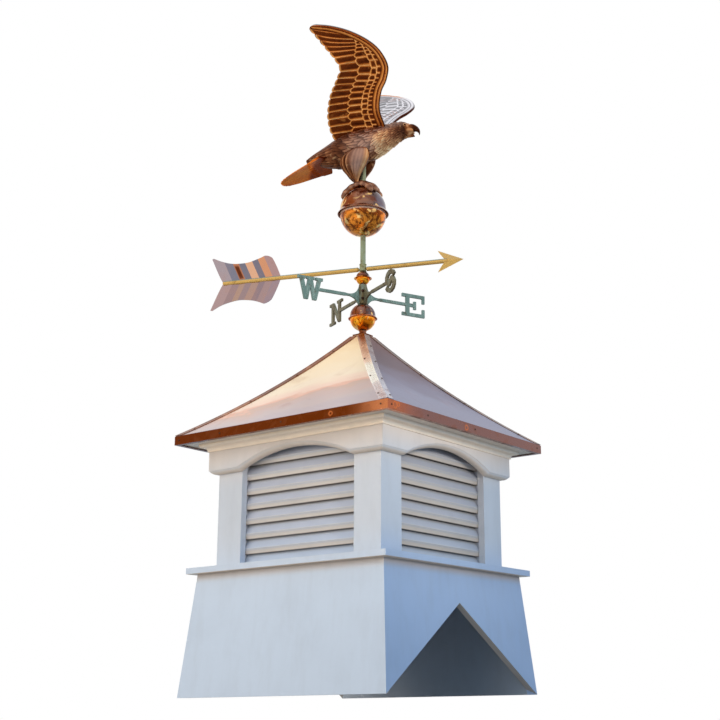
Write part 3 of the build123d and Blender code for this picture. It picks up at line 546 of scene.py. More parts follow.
class SharedEffects:
    """The node groups that several finishes place with their own values."""

    def __init__(self) -> None:
        """Builds each group once."""
        self.sky_side = self._sky_side()
        self.patches = self._patches()
        self.rise = self._rise()
        self.ring = self._ring()
        self.grain = self._grain()
        self.dust = self._dust()

    @staticmethod
    def _start(name: str, inputs: list[tuple[str, str, object]], output: str) -> tuple[Sketch, dict, Socket]:
        """A new group with its sockets.

        Args:
            name: the group's name.
            inputs: name, type and first value of each input.
            output: name of the one output, a number.

        Returns:
            The sketch of the tree, the inputs by name, and the output's socket.
        """
        tree = bpy.data.node_groups.new(name, "ShaderNodeTree")
        for label, kind, value in inputs:
            socket = tree.interface.new_socket(label, in_out="INPUT", socket_type="NodeSocket" + kind)
            if value is not None:
                socket.default_value = value
        tree.interface.new_socket(output, in_out="OUTPUT", socket_type="NodeSocketFloat")
        sketch = Sketch(tree)
        start = sketch.add("NodeGroupInput")
        end = sketch.add("NodeGroupOutput")
        return sketch, {item.name: item for item in start.outputs}, end.inputs[0]

    def _sky_side(self) -> NodeTree:
        """1 where a surface faces the sky and 0 where it faces the ground.

        Returns:
            The node group.
        """
        sketch, given, result = self._start("sky side", [("Normal", "Vector", None), ("Low", "Float", -0.3),
            ("High", "Float", 0.5)], "Mask")
        height = sketch.split(given["Normal"])[2]
        sketch.feed(result, sketch.remap(height, given["Low"], given["High"]))
        return sketch.tree

    def _patches(self) -> NodeTree:
        """Cloudy patches with edges as soft as the step between Low and High.

        Returns:
            The node group.
        """
        sketch, given, result = self._start("patches", [("Place", "Vector", None), ("Scale", "Float", 10.0),
            ("Low", "Float", 0.5), ("High", "Float", 0.6), ("Bend", "Float", 0.5)], "Mask")
        cloud = sketch.noise(given["Place"], given["Scale"], 4.0, 0.55, given["Bend"])
        sketch.feed(result, sketch.remap(cloud, given["Low"], given["High"]))
        return sketch.tree

    def _rise(self) -> NodeTree:
        """0 at one height and 1 at another, with a wavering edge.

        Returns:
            The node group.
        """
        sketch, given, result = self._start("rise", [("Place", "Vector", None), ("From", "Float", 0.0),
            ("To", "Float", 1.0), ("Waver", "Float", 0.02)], "Mask")
        cloud = sketch.less(sketch.noise(given["Place"], 5.0), 0.5)
        height = sketch.split(given["Place"])[2]
        height = sketch.plus(height, sketch.times(cloud, given["Waver"]))
        sketch.feed(result, sketch.remap(height, given["From"], given["To"]))
        return sketch.tree

    def _ring(self) -> NodeTree:
        """A drop's dried ring: 1 on a wavering circle round a point.

        Returns:
            The node group.
        """
        sketch, given, result = self._start("dried ring", [("Place", "Vector", None), ("Centre", "Vector", None),
            ("Radius", "Float", 0.01), ("Width", "Float", 0.003)], "Mask")
        away = sketch.wired("ShaderNodeVectorMath", {0: given["Place"], 1: given["Centre"]}, 1,
            operation="DISTANCE")
        cloud = sketch.sway(sketch.noise(given["Place"], 120.0), 0.006)
        reach = sketch.plus(away, cloud)
        off = sketch.calc("ABSOLUTE", sketch.less(reach, given["Radius"]))
        near = sketch.calc("DIVIDE", off, given["Width"])
        sketch.feed(result, sketch.remap(near, 1.0, 0.2))
        return sketch.tree

    def _grain(self) -> NodeTree:
        """Two sizes of fine unevenness, as a height.

        Returns:
            The node group.
        """
        sketch, given, result = self._start("grain", [("Place", "Vector", None), ("Scale", "Float", 60.0),
            ("Fine", "Float", 0.4)], "Height")
        coarse = sketch.noise(given["Place"], given["Scale"], 2.0)
        small = sketch.noise(given["Place"], sketch.times(given["Scale"], 9.0), 2.0)
        sketch.feed(result, sketch.plus(coarse, sketch.times(small, given["Fine"])))
        return sketch.tree

    def _dust(self) -> NodeTree:
        """A thin cover of dust or streaked dirt that settles on one side.

        Returns:
            The node group.
        """
        sketch, given, result = self._start("dust", [("Place", "Vector", None), ("Settled", "Float", 1.0),
            ("Amount", "Float", 0.3), ("Scale", "Float", 18.0)], "Mask")
        streaks = sketch.noise(sketch.stretched(given["Place"], (1.0, 1.0, 0.25)), given["Scale"], 5.0, 0.6)
        lying = sketch.times(sketch.remap(streaks, 0.4, 0.75), given["Settled"])
        sketch.feed(result, sketch.times(lying, given["Amount"]))
        return sketch.tree


class Paint(Sketch):
    """One material in the making, with its shader, its Object coordinates and its normal."""

    def __init__(self, name: str, shared: SharedEffects) -> None:
        """Starts an empty material.

        Args:
            name: its name.
            shared: the node groups it may place.
        """
        self.shared = shared
        self.material = bpy.data.materials.new(name)
        self.material.use_nodes = True
        self.material.node_tree.nodes.clear()
        super().__init__(self.material.node_tree)
        self.place = self.add("ShaderNodeTexCoord").outputs["Object"]
        self.normal = self.add("ShaderNodeNewGeometry").outputs["Normal"]
        self.shader = self.add("ShaderNodeBsdfPrincipled")
        out = self.add("ShaderNodeOutputMaterial")
        self.feed(out.inputs[0], self.shader.outputs[0])

    def mark(self, name: str) -> Socket:
        """A value that the piece carries at its points."""
        return self.add("ShaderNodeAttribute", attribute_name=name).outputs["Fac"]

    def patches(self, scale: float, low: float, high: float, bend: float) -> Socket:
        """Cloudy patches on the piece."""
        return self.group(self.shared.patches, Place=self.place, Scale=scale, Low=low, High=high, Bend=bend)

    def grain(self, scale: float, fine: float) -> Socket:
        """Fine unevenness, as a height."""
        return self.group(self.shared.grain, Place=self.place, Scale=scale, Fine=fine)

    def sky_side(self, low: float, high: float) -> Socket:
        """Where the piece faces the sky, by its normal's height."""
        return self.group(self.shared.sky_side, Normal=self.normal, Low=low, High=high)

    def rise(self, start: float, stop: float, waver: float) -> Socket:
        """0 below one height and 1 above the other."""
        return self.group(self.shared.rise, Place=self.place, From=start, To=stop, Waver=waver)

    def dust(self, settled: Value, amount: float, scale: float) -> Socket:
        """Dust or streaked dirt."""
        return self.group(self.shared.dust, Place=self.place, Settled=settled, Amount=amount, Scale=scale)

    def finish(self, colour: Value, rough: Value, metallic: Value, height: Optional[Value] = None,
            depth: float = 0.001, strength: float = 1.0) -> Material:
        """Joins the colour, roughness and bump to the shader.

        Args:
            colour, rough, metallic: the shader's own values.
            height: the bump's height, if it has one.
            depth: how deep the bump is, in metres.
            strength: how much of the bump shows.

        Returns:
            The material.
        """
        self.feed(self.shader.inputs["Base Color"], colour)
        self.feed(self.shader.inputs["Roughness"], rough)
        self.feed(self.shader.inputs["Metallic"], metallic)
        if height is not None:
            bump = self.wired("ShaderNodeBump", {"Distance": depth, "Strength": strength, "Height": height})
            self.feed(self.shader.inputs["Normal"], bump)
        return self.material


@dataclass(frozen=True)
class SlatFinish:
    """White vinyl louvres, with painted light: creamy noses, cool skylit leaves, a painted shadow under each nose.
    """

    name: str = "slat_vinyl"
    # nose: painted warm light; leaf: painted cool skylight.
    nose: Colour = srgb(206, 196, 186)
    leaf: Colour = srgb(184, 188, 202)
    foot: float = 0.3175
    pitch: float = 0.0384
    hidden: float = 0.004

    def build(self, shared: SharedEffects) -> Material:
        """Builds the finish.

        Args:
            shared: the node groups.

        Returns:
            Its material.
        """
        paint = Paint(self.name, shared)
        height = paint.split(paint.place)[2]
        step = paint.calc("DIVIDE", paint.less(height, self.foot + self.hidden), self.pitch)
        # Up each leaf: a painted warm highlight at its foot, painted cool skylight, then painted shadow behind the
        # nose above.
        leaf = paint.ramp(paint.calc("FRACT", step), [(0.22, 206, 200, 194), (0.32, self.leaf), (0.62, self.leaf),
            (0.78, 178, 178, 184), (0.88, 160, 154, 152), (0.95, 124, 114, 104)])
        low = paint.rise(start=0.30, stop=0.46, waver=0.03)
        # Painted bluish shade on the leaves lower down.
        leaf = paint.blend(paint.times(paint.less(1.0, low), 0.5), leaf, srgb(176, 196, 220))
        nose_step = paint.calc("FRACT", paint.calc("DIVIDE", paint.less(height, self.foot), self.pitch))
        # Up each nose: a painted shadow line at its foot, then painted warm light, then its top in the leaves' cool
        # skylight.
        nose = paint.ramp(nose_step, [(0.0, 150, 134, 118), (0.04, 214, 202, 192), (0.18, self.nose),
            (0.25, 192, 188, 188), (0.34, 190, 190, 196)])
        # Noses, facing down, take the warm painted light; leaves, facing up, the cool painted skylight.
        up = paint.sky_side(low=-0.1, high=0.2)
        colour = paint.blend(up, nose, leaf)
        # Painted shade on faces toward the ground.
        under = paint.sky_side(low=-0.55, high=-0.75)
        colour = paint.blend(under, colour, srgb(120, 106, 92))
        cloud = paint.patches(scale=9.0, low=0.42, high=0.68, bend=0.3)
        colour = paint.tint(colour, cloud, 0.10, srgb(150, 152, 156))
        fine = paint.grain(scale=90.0, fine=0.5)
        return paint.finish(colour, paint.remap(cloud, 0.0, 1.0, 0.42, 0.52), 0.0, fine, 0.0004, 0.35)


@dataclass(frozen=True)
class VinylFinish:
    """White vinyl board: painted bluish shade low down, painted warm light under the eave and on downward faces."""

    name: str = "white_vinyl"
    # Painted light: bluish shade low down, warm light up high; the side_ colours paint faces turned to +X.
    foot: Colour = srgb(200, 209, 222)
    cool: Colour = srgb(201, 203, 209)
    upper: Colour = srgb(216, 199, 184)
    side_foot: Colour = srgb(170, 194, 229)
    side_cool: Colour = srgb(197, 206, 220)
    side_upper: Colour = srgb(242, 230, 222)
    # under: painted warm light on faces toward the ground.
    under: Colour = srgb(226, 204, 180)
    # Painted shadow on the base just under the ledge.
    worn: Colour = srgb(196, 172, 148)
    shade: Colour = srgb(150, 152, 156)
    warm_from: float = 0.52
    warm_to: float = 0.66

    def build(self, shared: SharedEffects) -> Material:
        """Builds the finish.

        Args:
            shared: the node groups.

        Returns:
            Its material.
        """
        paint = Paint(self.name, shared)
        # Painted light by height: bluish shade low down, warm light under the eave; faces turned to +X get their
        # own copy.
        rise = paint.rise(start=self.warm_from, stop=self.warm_to, waver=0.05)
        low = paint.rise(start=0.27, stop=0.42, waver=0.03)
        ahead = paint.blend(rise, paint.blend(low, self.foot, self.cool), self.upper)
        aside = paint.blend(rise, paint.blend(low, self.side_foot, self.side_cool), self.side_upper)
        colour = paint.blend(paint.remap(paint.split(paint.normal)[0], 0.3, 0.8), ahead, aside)
        # A painted shadow band on the base just under the ledge.
        band = paint.times(paint.rise(start=0.282, stop=0.309, waver=0.0),
            paint.rise(start=0.3092, stop=0.3086, waver=0.0))
        colour = paint.tint(colour, band, 0.7, self.worn)
        # Painted warm bounced light on faces toward the ground.
        sky = paint.sky_side(low=-0.95, high=-0.45)
        colour = paint.blend(paint.times(paint.less(1.0, sky), 0.85), colour, self.under)
        cloud = paint.patches(scale=7.0, low=0.42, high=0.68, bend=0.3)
        colour = paint.tint(colour, cloud, 0.06, self.shade)
        dirt = paint.dust(settled=1.0, amount=0.07, scale=30.0)
        colour = paint.blend(dirt, colour, srgb(120, 110, 96))
        height = paint.grain(scale=90.0, fine=0.5)
        rough = paint.remap(cloud, 0.0, 1.0, 0.42, 0.52)
        return paint.finish(colour, rough, 0.0, height, 0.0004, 0.35)


class Banding(Enum):
    """Which way the bands of painted reflection on a roof sheet run: sunset-lit or in shade."""

    SUNSET = "sunset"
    SHADE = "shade"


@dataclass(frozen=True)
class RoofSheetFinish:
    """New sheet copper: soft bands of painted reflection that follow its height, with faint cloudy streaks."""

    name: str
    banding: Banding
    edge: Colour
    eave: float = 0.67
    peak: float = 0.97

    def build(self, shared: SharedEffects) -> Material:
        """Builds the finish.

        Args:
            shared: the node groups.

        Returns:
            Its material.
        """
        paint = Paint(self.name, shared)
        streak = paint.noise(paint.stretched(paint.place, (1.0, 1.0, 3.2)), 3.2, 5.0, 0.55, 0.6)
        height = paint.split(paint.place)[2]
        waver = paint.sway(streak, 0.13)
        slant = paint.times(paint.split(paint.place)[0], -0.11)
        level = paint.plus(paint.plus(height, slant), waver)
        share = paint.remap(level, self.eave, self.peak)
        # Painted reflection: the lit sheets show a bright sunset band, the shaded ones muted bands.
        if self.banding is Banding.SUNSET:
            stops = [(0.0, 200, 187, 194), (0.04, 208, 192, 192), (0.10, 213, 188, 183), (0.145, 216, 184, 170),
                (0.17, 240, 192, 170), (0.22, 252, 222, 202), (0.40, 255, 238, 212), (0.60, 255, 236, 204),
                (0.84, 255, 232, 194), (0.94, 254, 226, 182), (1.0, 238, 200, 150)]
        else:
            stops = [(0.0, 203, 205, 225), (0.2, 187, 184, 202), (0.45, 177, 168, 181), (0.75, 163, 147, 150),
                (1.0, 164, 138, 134)]
        colour = paint.ramp(share, stops)
        smear = paint.patches(scale=11.0, low=0.55, high=0.75, bend=1.2)
        colour = paint.tint(colour, smear, 0.14, srgb(176, 130, 112))
        fine = paint.grain(scale=14.0, fine=0.06)
        rough = paint.remap(smear, 0.0, 1.0, 0.30, 0.40)
        paint.shader.inputs["Specular Tint"].default_value = (*self.edge, 1.0)
        return paint.finish(colour, rough, 1.0, fine, 0.0012, 0.25)


@dataclass(frozen=True)
class TrimFinish:
    """Browned copper of the fascia and cap: a painted highlight near the near corner, dark further away."""

    name: str
    bright: Colour
    warm: Colour
    middle: Colour
    dark: Colour
    lit: Colour
    rings: tuple[tuple[Triple, float], ...] = (((0.3545, -0.325, 0.659), 0.0075), ((0.3545, -0.312, 0.662), 0.0045),
        ((0.18, -0.3545, 0.657), 0.005), ((0.3545, -0.02, 0.656), 0.006))

    def build(self, shared: SharedEffects) -> Material:
        """Builds the finish.

        Args:
            shared: the node groups.

        Returns:
            Its material.
        """
        paint = Paint(self.name, shared)
        across, back, _ = paint.split(paint.place)
        facing = paint.split(paint.normal)
        # Painted highlight near the near corner, dark further away; faces turned to +X get a painted copy of their
        # own.
        from_corner = paint.less(0.354, paint.calc("MINIMUM", across, paint.times(back, -1.0)))
        drift = paint.sway(paint.noise(paint.place, 9.0, 4.0), 0.10)
        reach = paint.plus(from_corner, drift)
        front = paint.blend(paint.remap(reach, 0.02, 0.13), self.bright, self.dark)
        side = paint.blend(paint.remap(reach, 0.0, 0.16), self.warm, self.middle)
        colour = paint.blend(paint.remap(facing[0], 0.4, 0.8), front, side)
        cloud = paint.patches(scale=26.0, low=0.45, high=0.7, bend=1.0)
        colour = paint.tint(colour, cloud, 0.22, self.lit)
        # Painted sky reflection on faces toward the sky.
        sky = paint.sky_side(low=0.2, high=0.7)
        colour = paint.tint(colour, sky, 0.5, srgb(196, 168, 158))
        for centre, radius in self.rings:
            ring = paint.group(shared.ring, Place=paint.place, Centre=centre, Radius=radius, Width=0.0028)
            colour = paint.tint(colour, ring, 0.75, srgb(206, 112, 58))
        rough = paint.remap(cloud, 0.0, 1.0, 0.26, 0.42)
        height = paint.grain(scale=40.0, fine=0.3)
        return paint.finish(colour, rough, 1.0, height, 0.0006, 0.4)


@dataclass(frozen=True)
class HipFinish:
    """Folded hip strips: browned at the top, a pale painted reflection lower down, greyer on the shaded leg."""

    name: str = "hip_copper"

    def build(self, shared: SharedEffects) -> Material:
        """Builds the finish.

        Args:
            shared: the node groups.

        Returns:
            Its material.
        """
        paint = Paint(self.name, shared)
        height = paint.split(paint.place)[2]
        drift = paint.sway(paint.noise(paint.place, 14.0, 4.0), 0.07)
        share = paint.remap(paint.plus(height, drift), 0.67, 0.97)
        # The near hip's painted reflection: pale with the sunset on its lit leg, greyer on its shaded leg.
        lit = paint.ramp(share, [(0.0, 214, 198, 200), (0.12, 226, 212, 210), (0.25, 255, 250, 238),
            (0.50, 255, 248, 230), (0.62, 240, 204, 178), (0.76, 224, 176, 142), (0.90, 216, 162, 122),
            (1.0, 132, 70, 24)])
        shaded = paint.ramp(share, [(0.0, 180, 182, 198), (0.3, 158, 152, 168), (0.8, 138, 122, 130),
            (1.0, 112, 80, 66)])
        facing = paint.split(paint.normal)
        turned = paint.remap(paint.plus(facing[0], facing[1]), -0.2, 0.2)
        near = paint.blend(turned, lit, shaded)
        stain = paint.noise(paint.place, 22.0, 4.0, 0.6)
        browned = paint.ramp(stain, [(0.3, 92, 48, 24), (0.5, 136, 78, 46), (0.7, 178, 116, 76)])
        # The back hips are painted darker, as painted shade.
        away = paint.ramp(stain, [(0.3, 64, 42, 36), (0.5, 98, 74, 68), (0.7, 128, 84, 58)])
        across, back, _ = paint.split(paint.place)
        far = paint.blend(paint.remap(back, -0.01, 0.01), browned, away)
        corner = paint.remap(paint.less(across, back), 0.0, 0.01)
        corner = paint.times(corner, paint.times(paint.remap(across, -0.01, 0.0), paint.remap(back, 0.01, 0.0)))
        colour = paint.blend(corner, far, near)
        rub = paint.patches(scale=30.0, low=0.5, high=0.7, bend=0.6)
        colour = paint.tint(colour, rub, 0.25, srgb(160, 104, 78))
        fine = paint.grain(scale=45.0, fine=0.3)
        return paint.finish(colour, paint.remap(rub, 0.0, 1.0, 0.26, 0.4), 1.0, fine, 0.0006, 0.4)


@dataclass(frozen=True)
class SpunCopperFinish:
    """Polished spun copper: bright orange below with dark patches; above, a painted mauve reflection and
    highlights.
    """

    name: str
    glow: Colour
    deep: Colour
    sky: Colour
    patch_scale: float = 26.0
    band: Colour = srgb(218, 190, 172)
    brim: Colour = srgb(176, 112, 78)

    def build(self, shared: SharedEffects) -> Material:
        """Builds the finish.

        Args:
            shared: the node groups.

        Returns:
            Its material.
        """
        paint = Paint(self.name, shared)
        dark = paint.patches(scale=self.patch_scale, low=0.42, high=0.56, bend=2.2)
        colour = paint.blend(dark, self.glow, self.deep)
        spots = paint.patches(scale=self.patch_scale * 1.5, low=0.58, high=0.61, bend=2.6)
        colour = paint.tint(colour, spots, 0.85, srgb(62, 32, 18))
        # Painted sky reflection on the upward faces, orange through mauve to grey by the side they face.
        aside = paint.split(paint.normal)
        east = paint.plus(paint.times(aside[0], 0.82), paint.times(aside[1], 0.57))
        clouds = paint.noise(paint.place, self.patch_scale, 3.0, 0.5, 0.8)
        east = paint.plus(east, paint.sway(clouds, 0.7))
        above = paint.ramp(paint.remap(east, -1.0, 1.0), [(0.0, 122, 52, 16), (0.22, 138, 70, 34), (0.40, self.sky),
            (0.68, 128, 96, 84), (0.82, 92, 76, 76), (1.0, 112, 104, 116)])
        up = paint.sky_side(low=0.02, high=0.10)
        colour = paint.blend(up, colour, above)
        # Darker patches on the upward faces.
        dark_upper_patches = paint.patches(scale=self.patch_scale * 0.8, low=0.52, high=0.58, bend=1.6)
        colour = paint.blend(paint.times(paint.times(dark_upper_patches, up), 0.55), colour, srgb(110, 48, 20))
        # Painted highlights.
        bright = paint.patches(scale=self.patch_scale * 1.1, low=0.58, high=0.64, bend=0.8)
        colour = paint.tint(colour, bright, 0.85, srgb(255, 206, 128))
        # A pale painted reflection band under the brim, and painted light on the brim, which are made less
        # metallic.
        rim, flare = paint.mark("rim"), paint.mark("flare")
        colour = paint.tint(colour, rim, 0.85, self.band)
        colour = paint.tint(colour, flare, 0.9, self.brim)
        metallic = paint.less(1.0, paint.times(paint.calc("MAXIMUM", rim, flare), 0.75))
        given = {"Vector": paint.place, "Scale": 160.0, "Distortion": 0.6}
        rings = paint.wired("ShaderNodeTexWave", given, 1, wave_type="BANDS", bands_direction="Z")
        rough = paint.remap(spots, 0.0, 1.0, 0.16, 0.34)
        return paint.finish(colour, rough, metallic, rings, 0.0004, 0.12)


@dataclass(frozen=True)
class EmbossedFinish:
    """Beaten copper: dark brown in hollows, golden on ridges, a painted mauve reflection where it faces the sky."""

    name: str
    hollow: Colour
    floor: Colour
    ridge: Colour
    glow: Colour = srgb(222, 138, 66)
    glint: Colour = srgb(244, 178, 112)
    sky: Colour = srgb(238, 238, 246)
    sky_low: float = 0.1
    sky_high: float = 0.4
    veil: float = 0.97

    def build(self, shared: SharedEffects) -> Material:
        """Builds the finish.

        Args:
            shared: the node groups.

        Returns:
            Its material.
        """
        paint = Paint(self.name, shared)
        # The relief mark also carries the painted light and shade that the eagle's pieces lay into it.
        relief = paint.mark("relief")
        wear = paint.noise(paint.place, 34.0, 4.0, 0.6, 0.8)
        level = paint.plus(relief, paint.sway(wear, 0.36))
        colour = paint.ramp(level, [(0.0, self.hollow), (0.26, self.floor), (0.52, self.ridge), (0.78, self.glow),
            (1.0, self.glint)])
        bright = paint.patches(scale=48.0, low=0.62, high=0.72, bend=0.8)
        colour = paint.tint(colour, bright, 0.30, self.glow)
        soot = paint.patches(scale=60.0, low=0.60, high=0.70, bend=0.8)
        colour = paint.tint(colour, soot, 0.40, srgb(58, 30, 20))
        # Painted mauve sky reflection on faces toward the sky, left out where the piece is marked warm.
        up = paint.sky_side(low=self.sky_low, high=self.sky_high)
        pale = paint.ramp(level, [(0.0, tuple(0.24 * part for part in self.sky)),
            (0.45, tuple(0.70 * part for part in self.sky)), (0.9, self.sky)])
        veil = paint.times(paint.times(up, self.veil), paint.less(1.0, paint.mark("warm")))
        colour = paint.blend(veil, colour, pale)
        height = paint.grain(scale=120.0, fine=0.4)
        return paint.finish(colour, paint.remap(level, 0.0, 1.0, 0.42, 0.24), 1.0, height, 0.0005, 0.45)


@dataclass(frozen=True)
class VerdigrisFinish:
    """Weathered brass: green where it faces the sky, ochre or olive below, browned at the edges."""

    name: str
    green: Colour
    below: Colour
    brown: Colour
    low: float = -0.25
    high: float = 0.3
    brown_low: float = 0.5
    hub: float = 0.0

    def build(self, shared: SharedEffects) -> Material:
        """Builds the finish.

        Args:
            shared: the node groups.

        Returns:
            Its material.
        """
        paint = Paint(self.name, shared)
        up = paint.sky_side(low=self.low, high=self.high)
        colour = paint.blend(up, self.below, self.green)
        across, back, _ = paint.split(paint.place)
        off_axis = paint.calc("SQRT", paint.plus(paint.times(across, across), paint.times(back, back)))
        hub = paint.remap(off_axis, self.hub + 0.003, self.hub)
        colour = paint.blend(hub, colour, self.brown)
        rust = paint.patches(scale=55.0, low=self.brown_low, high=self.brown_low + 0.16, bend=0.6)
        colour = paint.tint(colour, rust, 0.55, self.brown)
        chalk = paint.dust(settled=up, amount=0.5, scale=90.0)
        colour = paint.blend(chalk, colour, srgb(168, 190, 180))
        height = paint.grain(scale=150.0, fine=0.6)
        return paint.finish(colour, paint.remap(rust, 0.0, 1.0, 0.48, 0.6), 0.7, height, 0.0006, 0.5)


@dataclass(frozen=True)
class FletchFinish:
    """Pinkish sheet copper whose pressed bands alternate in painted light and shade above the rod."""

    name: str = "fletch_copper"

    def build(self, shared: SharedEffects) -> Material:
        """Builds the finish.

        Args:
            shared: the node groups.

        Returns:
            Its material.
        """
        paint = Paint(self.name, shared)
        band, half = paint.mark("band"), paint.mark("half")
        # Painted light and shade: the bands' folds alternate lit and shaded, strongly above the rod, faintly below.
        upper = paint.ramp(band, [(0.0, 170, 154, 158), (0.17, 128, 126, 140), (0.30, 186, 122, 90),
            (0.40, 122, 118, 130), (0.51, 224, 172, 138), (0.64, 124, 118, 130), (0.75, 214, 150, 112),
            (0.87, 176, 142, 140)], steps=True)
        lower = paint.ramp(band, [(0.0, 176, 148, 146), (0.17, 160, 134, 134), (0.30, 178, 146, 130),
            (0.40, 158, 134, 134), (0.51, 176, 144, 132), (0.64, 150, 128, 132), (0.75, 168, 140, 138),
            (0.87, 160, 138, 144)], steps=True)
        top = paint.remap(half, -0.02, 0.02)
        colour = paint.blend(top, lower, upper)
        inside = paint.times(paint.remap(band, 0.30, 0.325), paint.remap(band, 0.395, 0.37))
        burn = paint.times(inside, paint.remap(half, 0.12, 0.22))
        colour = paint.blend(paint.times(burn, paint.remap(half, 0.95, 0.8)), colour, srgb(104, 50, 26))
        smear = paint.patches(scale=24.0, low=0.46, high=0.72, bend=1.0)
        colour = paint.tint(colour, smear, 0.22, srgb(196, 148, 126))
        spots = paint.patches(scale=90.0, low=0.68, high=0.74, bend=0.3)
        colour = paint.tint(colour, spots, 0.5, srgb(128, 84, 66))
        height = paint.grain(scale=50.0, fine=0.3)
        return paint.finish(colour, paint.remap(smear, 0.0, 1.0, 0.24, 0.36), 1.0, height, 0.0004, 0.3)


@dataclass(frozen=True)
class PlywoodFinish:
    """Exterior plywood with its long grain."""

    name: str = "deck_plywood"

    def build(self, shared: SharedEffects) -> Material:
        """Builds the finish.

        Args:
            shared: the node groups.

        Returns:
            Its material.
        """
        paint = Paint(self.name, shared)
        grain = paint.noise(paint.stretched(paint.place, (1.0, 12.0, 12.0)), 9.0, 6.0, 0.6, 0.8)
        colour = paint.ramp(grain, [(0.3, 156, 120, 82), (0.5, 190, 152, 106), (0.7, 128, 92, 60)])
        stain = paint.patches(scale=9.0, low=0.5, high=0.7, bend=0.5)
        colour = paint.tint(colour, stain, 0.3, srgb(104, 78, 54))
        return paint.finish(colour, 0.75, 0.0, grain, 0.0006, 0.6)


@dataclass(frozen=True)
class SteelFinish:
    """Plain steel rod and dark screw heads."""

    name: str = "steel_rod"
    bright: Colour = srgb(150, 150, 154)
    dull: Colour = srgb(92, 74, 62)

    def build(self, shared: SharedEffects) -> Material:
        """Builds the finish.

        Args:
            shared: the node groups.

        Returns:
            Its material.
        """
        paint = Paint(self.name, shared)
        rust = paint.patches(scale=70.0, low=0.45, high=0.65, bend=0.5)
        colour = paint.blend(rust, self.bright, self.dull)
        height = paint.grain(scale=200.0, fine=0.5)
        return paint.finish(colour, paint.remap(rust, 0.0, 1.0, 0.32, 0.55), 1.0, height, 0.0004, 0.4)


class Finishes:
    """Every material of the part, built once."""

    def __init__(self) -> None:
        """Builds the shared effects and then the finishes."""
        shared = SharedEffects()
        self.vinyl = VinylFinish().build(shared)
        self.slats = SlatFinish().build(shared)
        # The crown's painted warm light under the eave is brighter still.
        self.crown = VinylFinish("crown_vinyl", upper=srgb(253, 230, 202), side_upper=srgb(253, 238, 220),
            under=srgb(250, 226, 200)).build(shared)
        self.roof_lit = RoofSheetFinish("roof_copper_lit", Banding.SUNSET, (1.0, 0.97, 0.94)).build(shared)
        self.roof_shade = RoofSheetFinish("roof_copper_shade", Banding.SHADE, (0.42, 0.42, 0.46)).build(shared)
        self.hip = HipFinish().build(shared)
        self.fascia = TrimFinish("fascia_copper", srgb(202, 122, 76), srgb(172, 96, 62), srgb(124, 88, 84),
            srgb(106, 44, 5), srgb(150, 84, 46)).build(shared)
        self.cap = TrimFinish("cap_copper", srgb(176, 100, 56), srgb(150, 92, 64), srgb(136, 88, 66),
            srgb(120, 62, 28), srgb(150, 88, 56)).build(shared)
        self.ball = SpunCopperFinish("ball_copper", srgb(238, 138, 48), srgb(128, 62, 22),
            srgb(154, 108, 86)).build(shared)
        self.small_ball = SpunCopperFinish("small_ball_copper", srgb(255, 168, 40), srgb(236, 118, 16),
            srgb(150, 108, 96), 40.0, srgb(240, 160, 80), srgb(206, 104, 50)).build(shared)
        self.embossed = EmbossedFinish("eagle_copper", srgb(62, 27, 12), srgb(120, 68, 38), srgb(194, 134, 88),
            srgb(242, 192, 138), srgb(255, 222, 178), srgb(206, 160, 140), -0.9, -0.4, 0.88).build(shared)
        self.wing = EmbossedFinish("wing_copper", srgb(72, 28, 10), srgb(112, 48, 16),
            srgb(186, 100, 38)).build(shared)
        self.tail = EmbossedFinish("tail_copper", srgb(138, 56, 12), srgb(186, 84, 22), srgb(220, 112, 34),
            srgb(244, 150, 62), srgb(252, 188, 110), srgb(196, 128, 84), 0.3, 0.9, 0.5).build(shared)
        self.tube = VerdigrisFinish("tube_brass", srgb(146, 158, 128), srgb(160, 152, 108),
            srgb(118, 96, 54)).build(shared)
        self.rod = VerdigrisFinish("rod_brass", srgb(128, 160, 158), srgb(222, 176, 96), srgb(128, 88, 36), 0.1,
            0.8, 0.6).build(shared)
        self.compass = VerdigrisFinish("verdigris_brass", srgb(116, 144, 138), srgb(112, 118, 96),
            srgb(104, 90, 60), -0.6, 0.1, 0.54, 0.012).build(shared)
        self.compass_brown = VerdigrisFinish("verdigris_brown", srgb(128, 130, 108), srgb(122, 106, 76),
            srgb(92, 74, 48), -0.3, 0.5, 0.46).build(shared)
        self.fletch = FletchFinish().build(shared)
        self.plywood = PlywoodFinish().build(shared)
        self.steel = SteelFinish().build(shared)
        self.screw = SteelFinish("dark_screw", srgb(96, 70, 58), srgb(58, 40, 32)).build(shared)


def dress(node: str, material: Material) -> None:
    """Gives a node its finish.

    Args:
        node: the node's name.
        material: its finish.
    """
    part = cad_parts[node]
    part.data.materials.clear()
    part.data.materials.append(material)
    log.info("%s: dressed", node)


# Sub-assemblies


@dataclass
class WhiteWork:
    """The white boards: base, ledge, posts, louvres, friezes, crown and soffit."""

    finishes: Finishes

    def build(self) -> None:
        """Dresses every board."""
        nodes = ["ledge", "crown", "soffit"]
        nodes += [f"{kind}_{side.word}" for kind in ("base", "louvre", "frieze") for side in Side]
        nodes += [f"post_{corner}" for corner in ("front_left", "front_right", "back_right", "back_left")]
        special = {"crown": self.finishes.crown}
        special.update({f"louvre_{side.word}": self.finishes.slats for side in Side})
        for node in nodes:
            dress(node, special.get(node, self.finishes.vinyl))


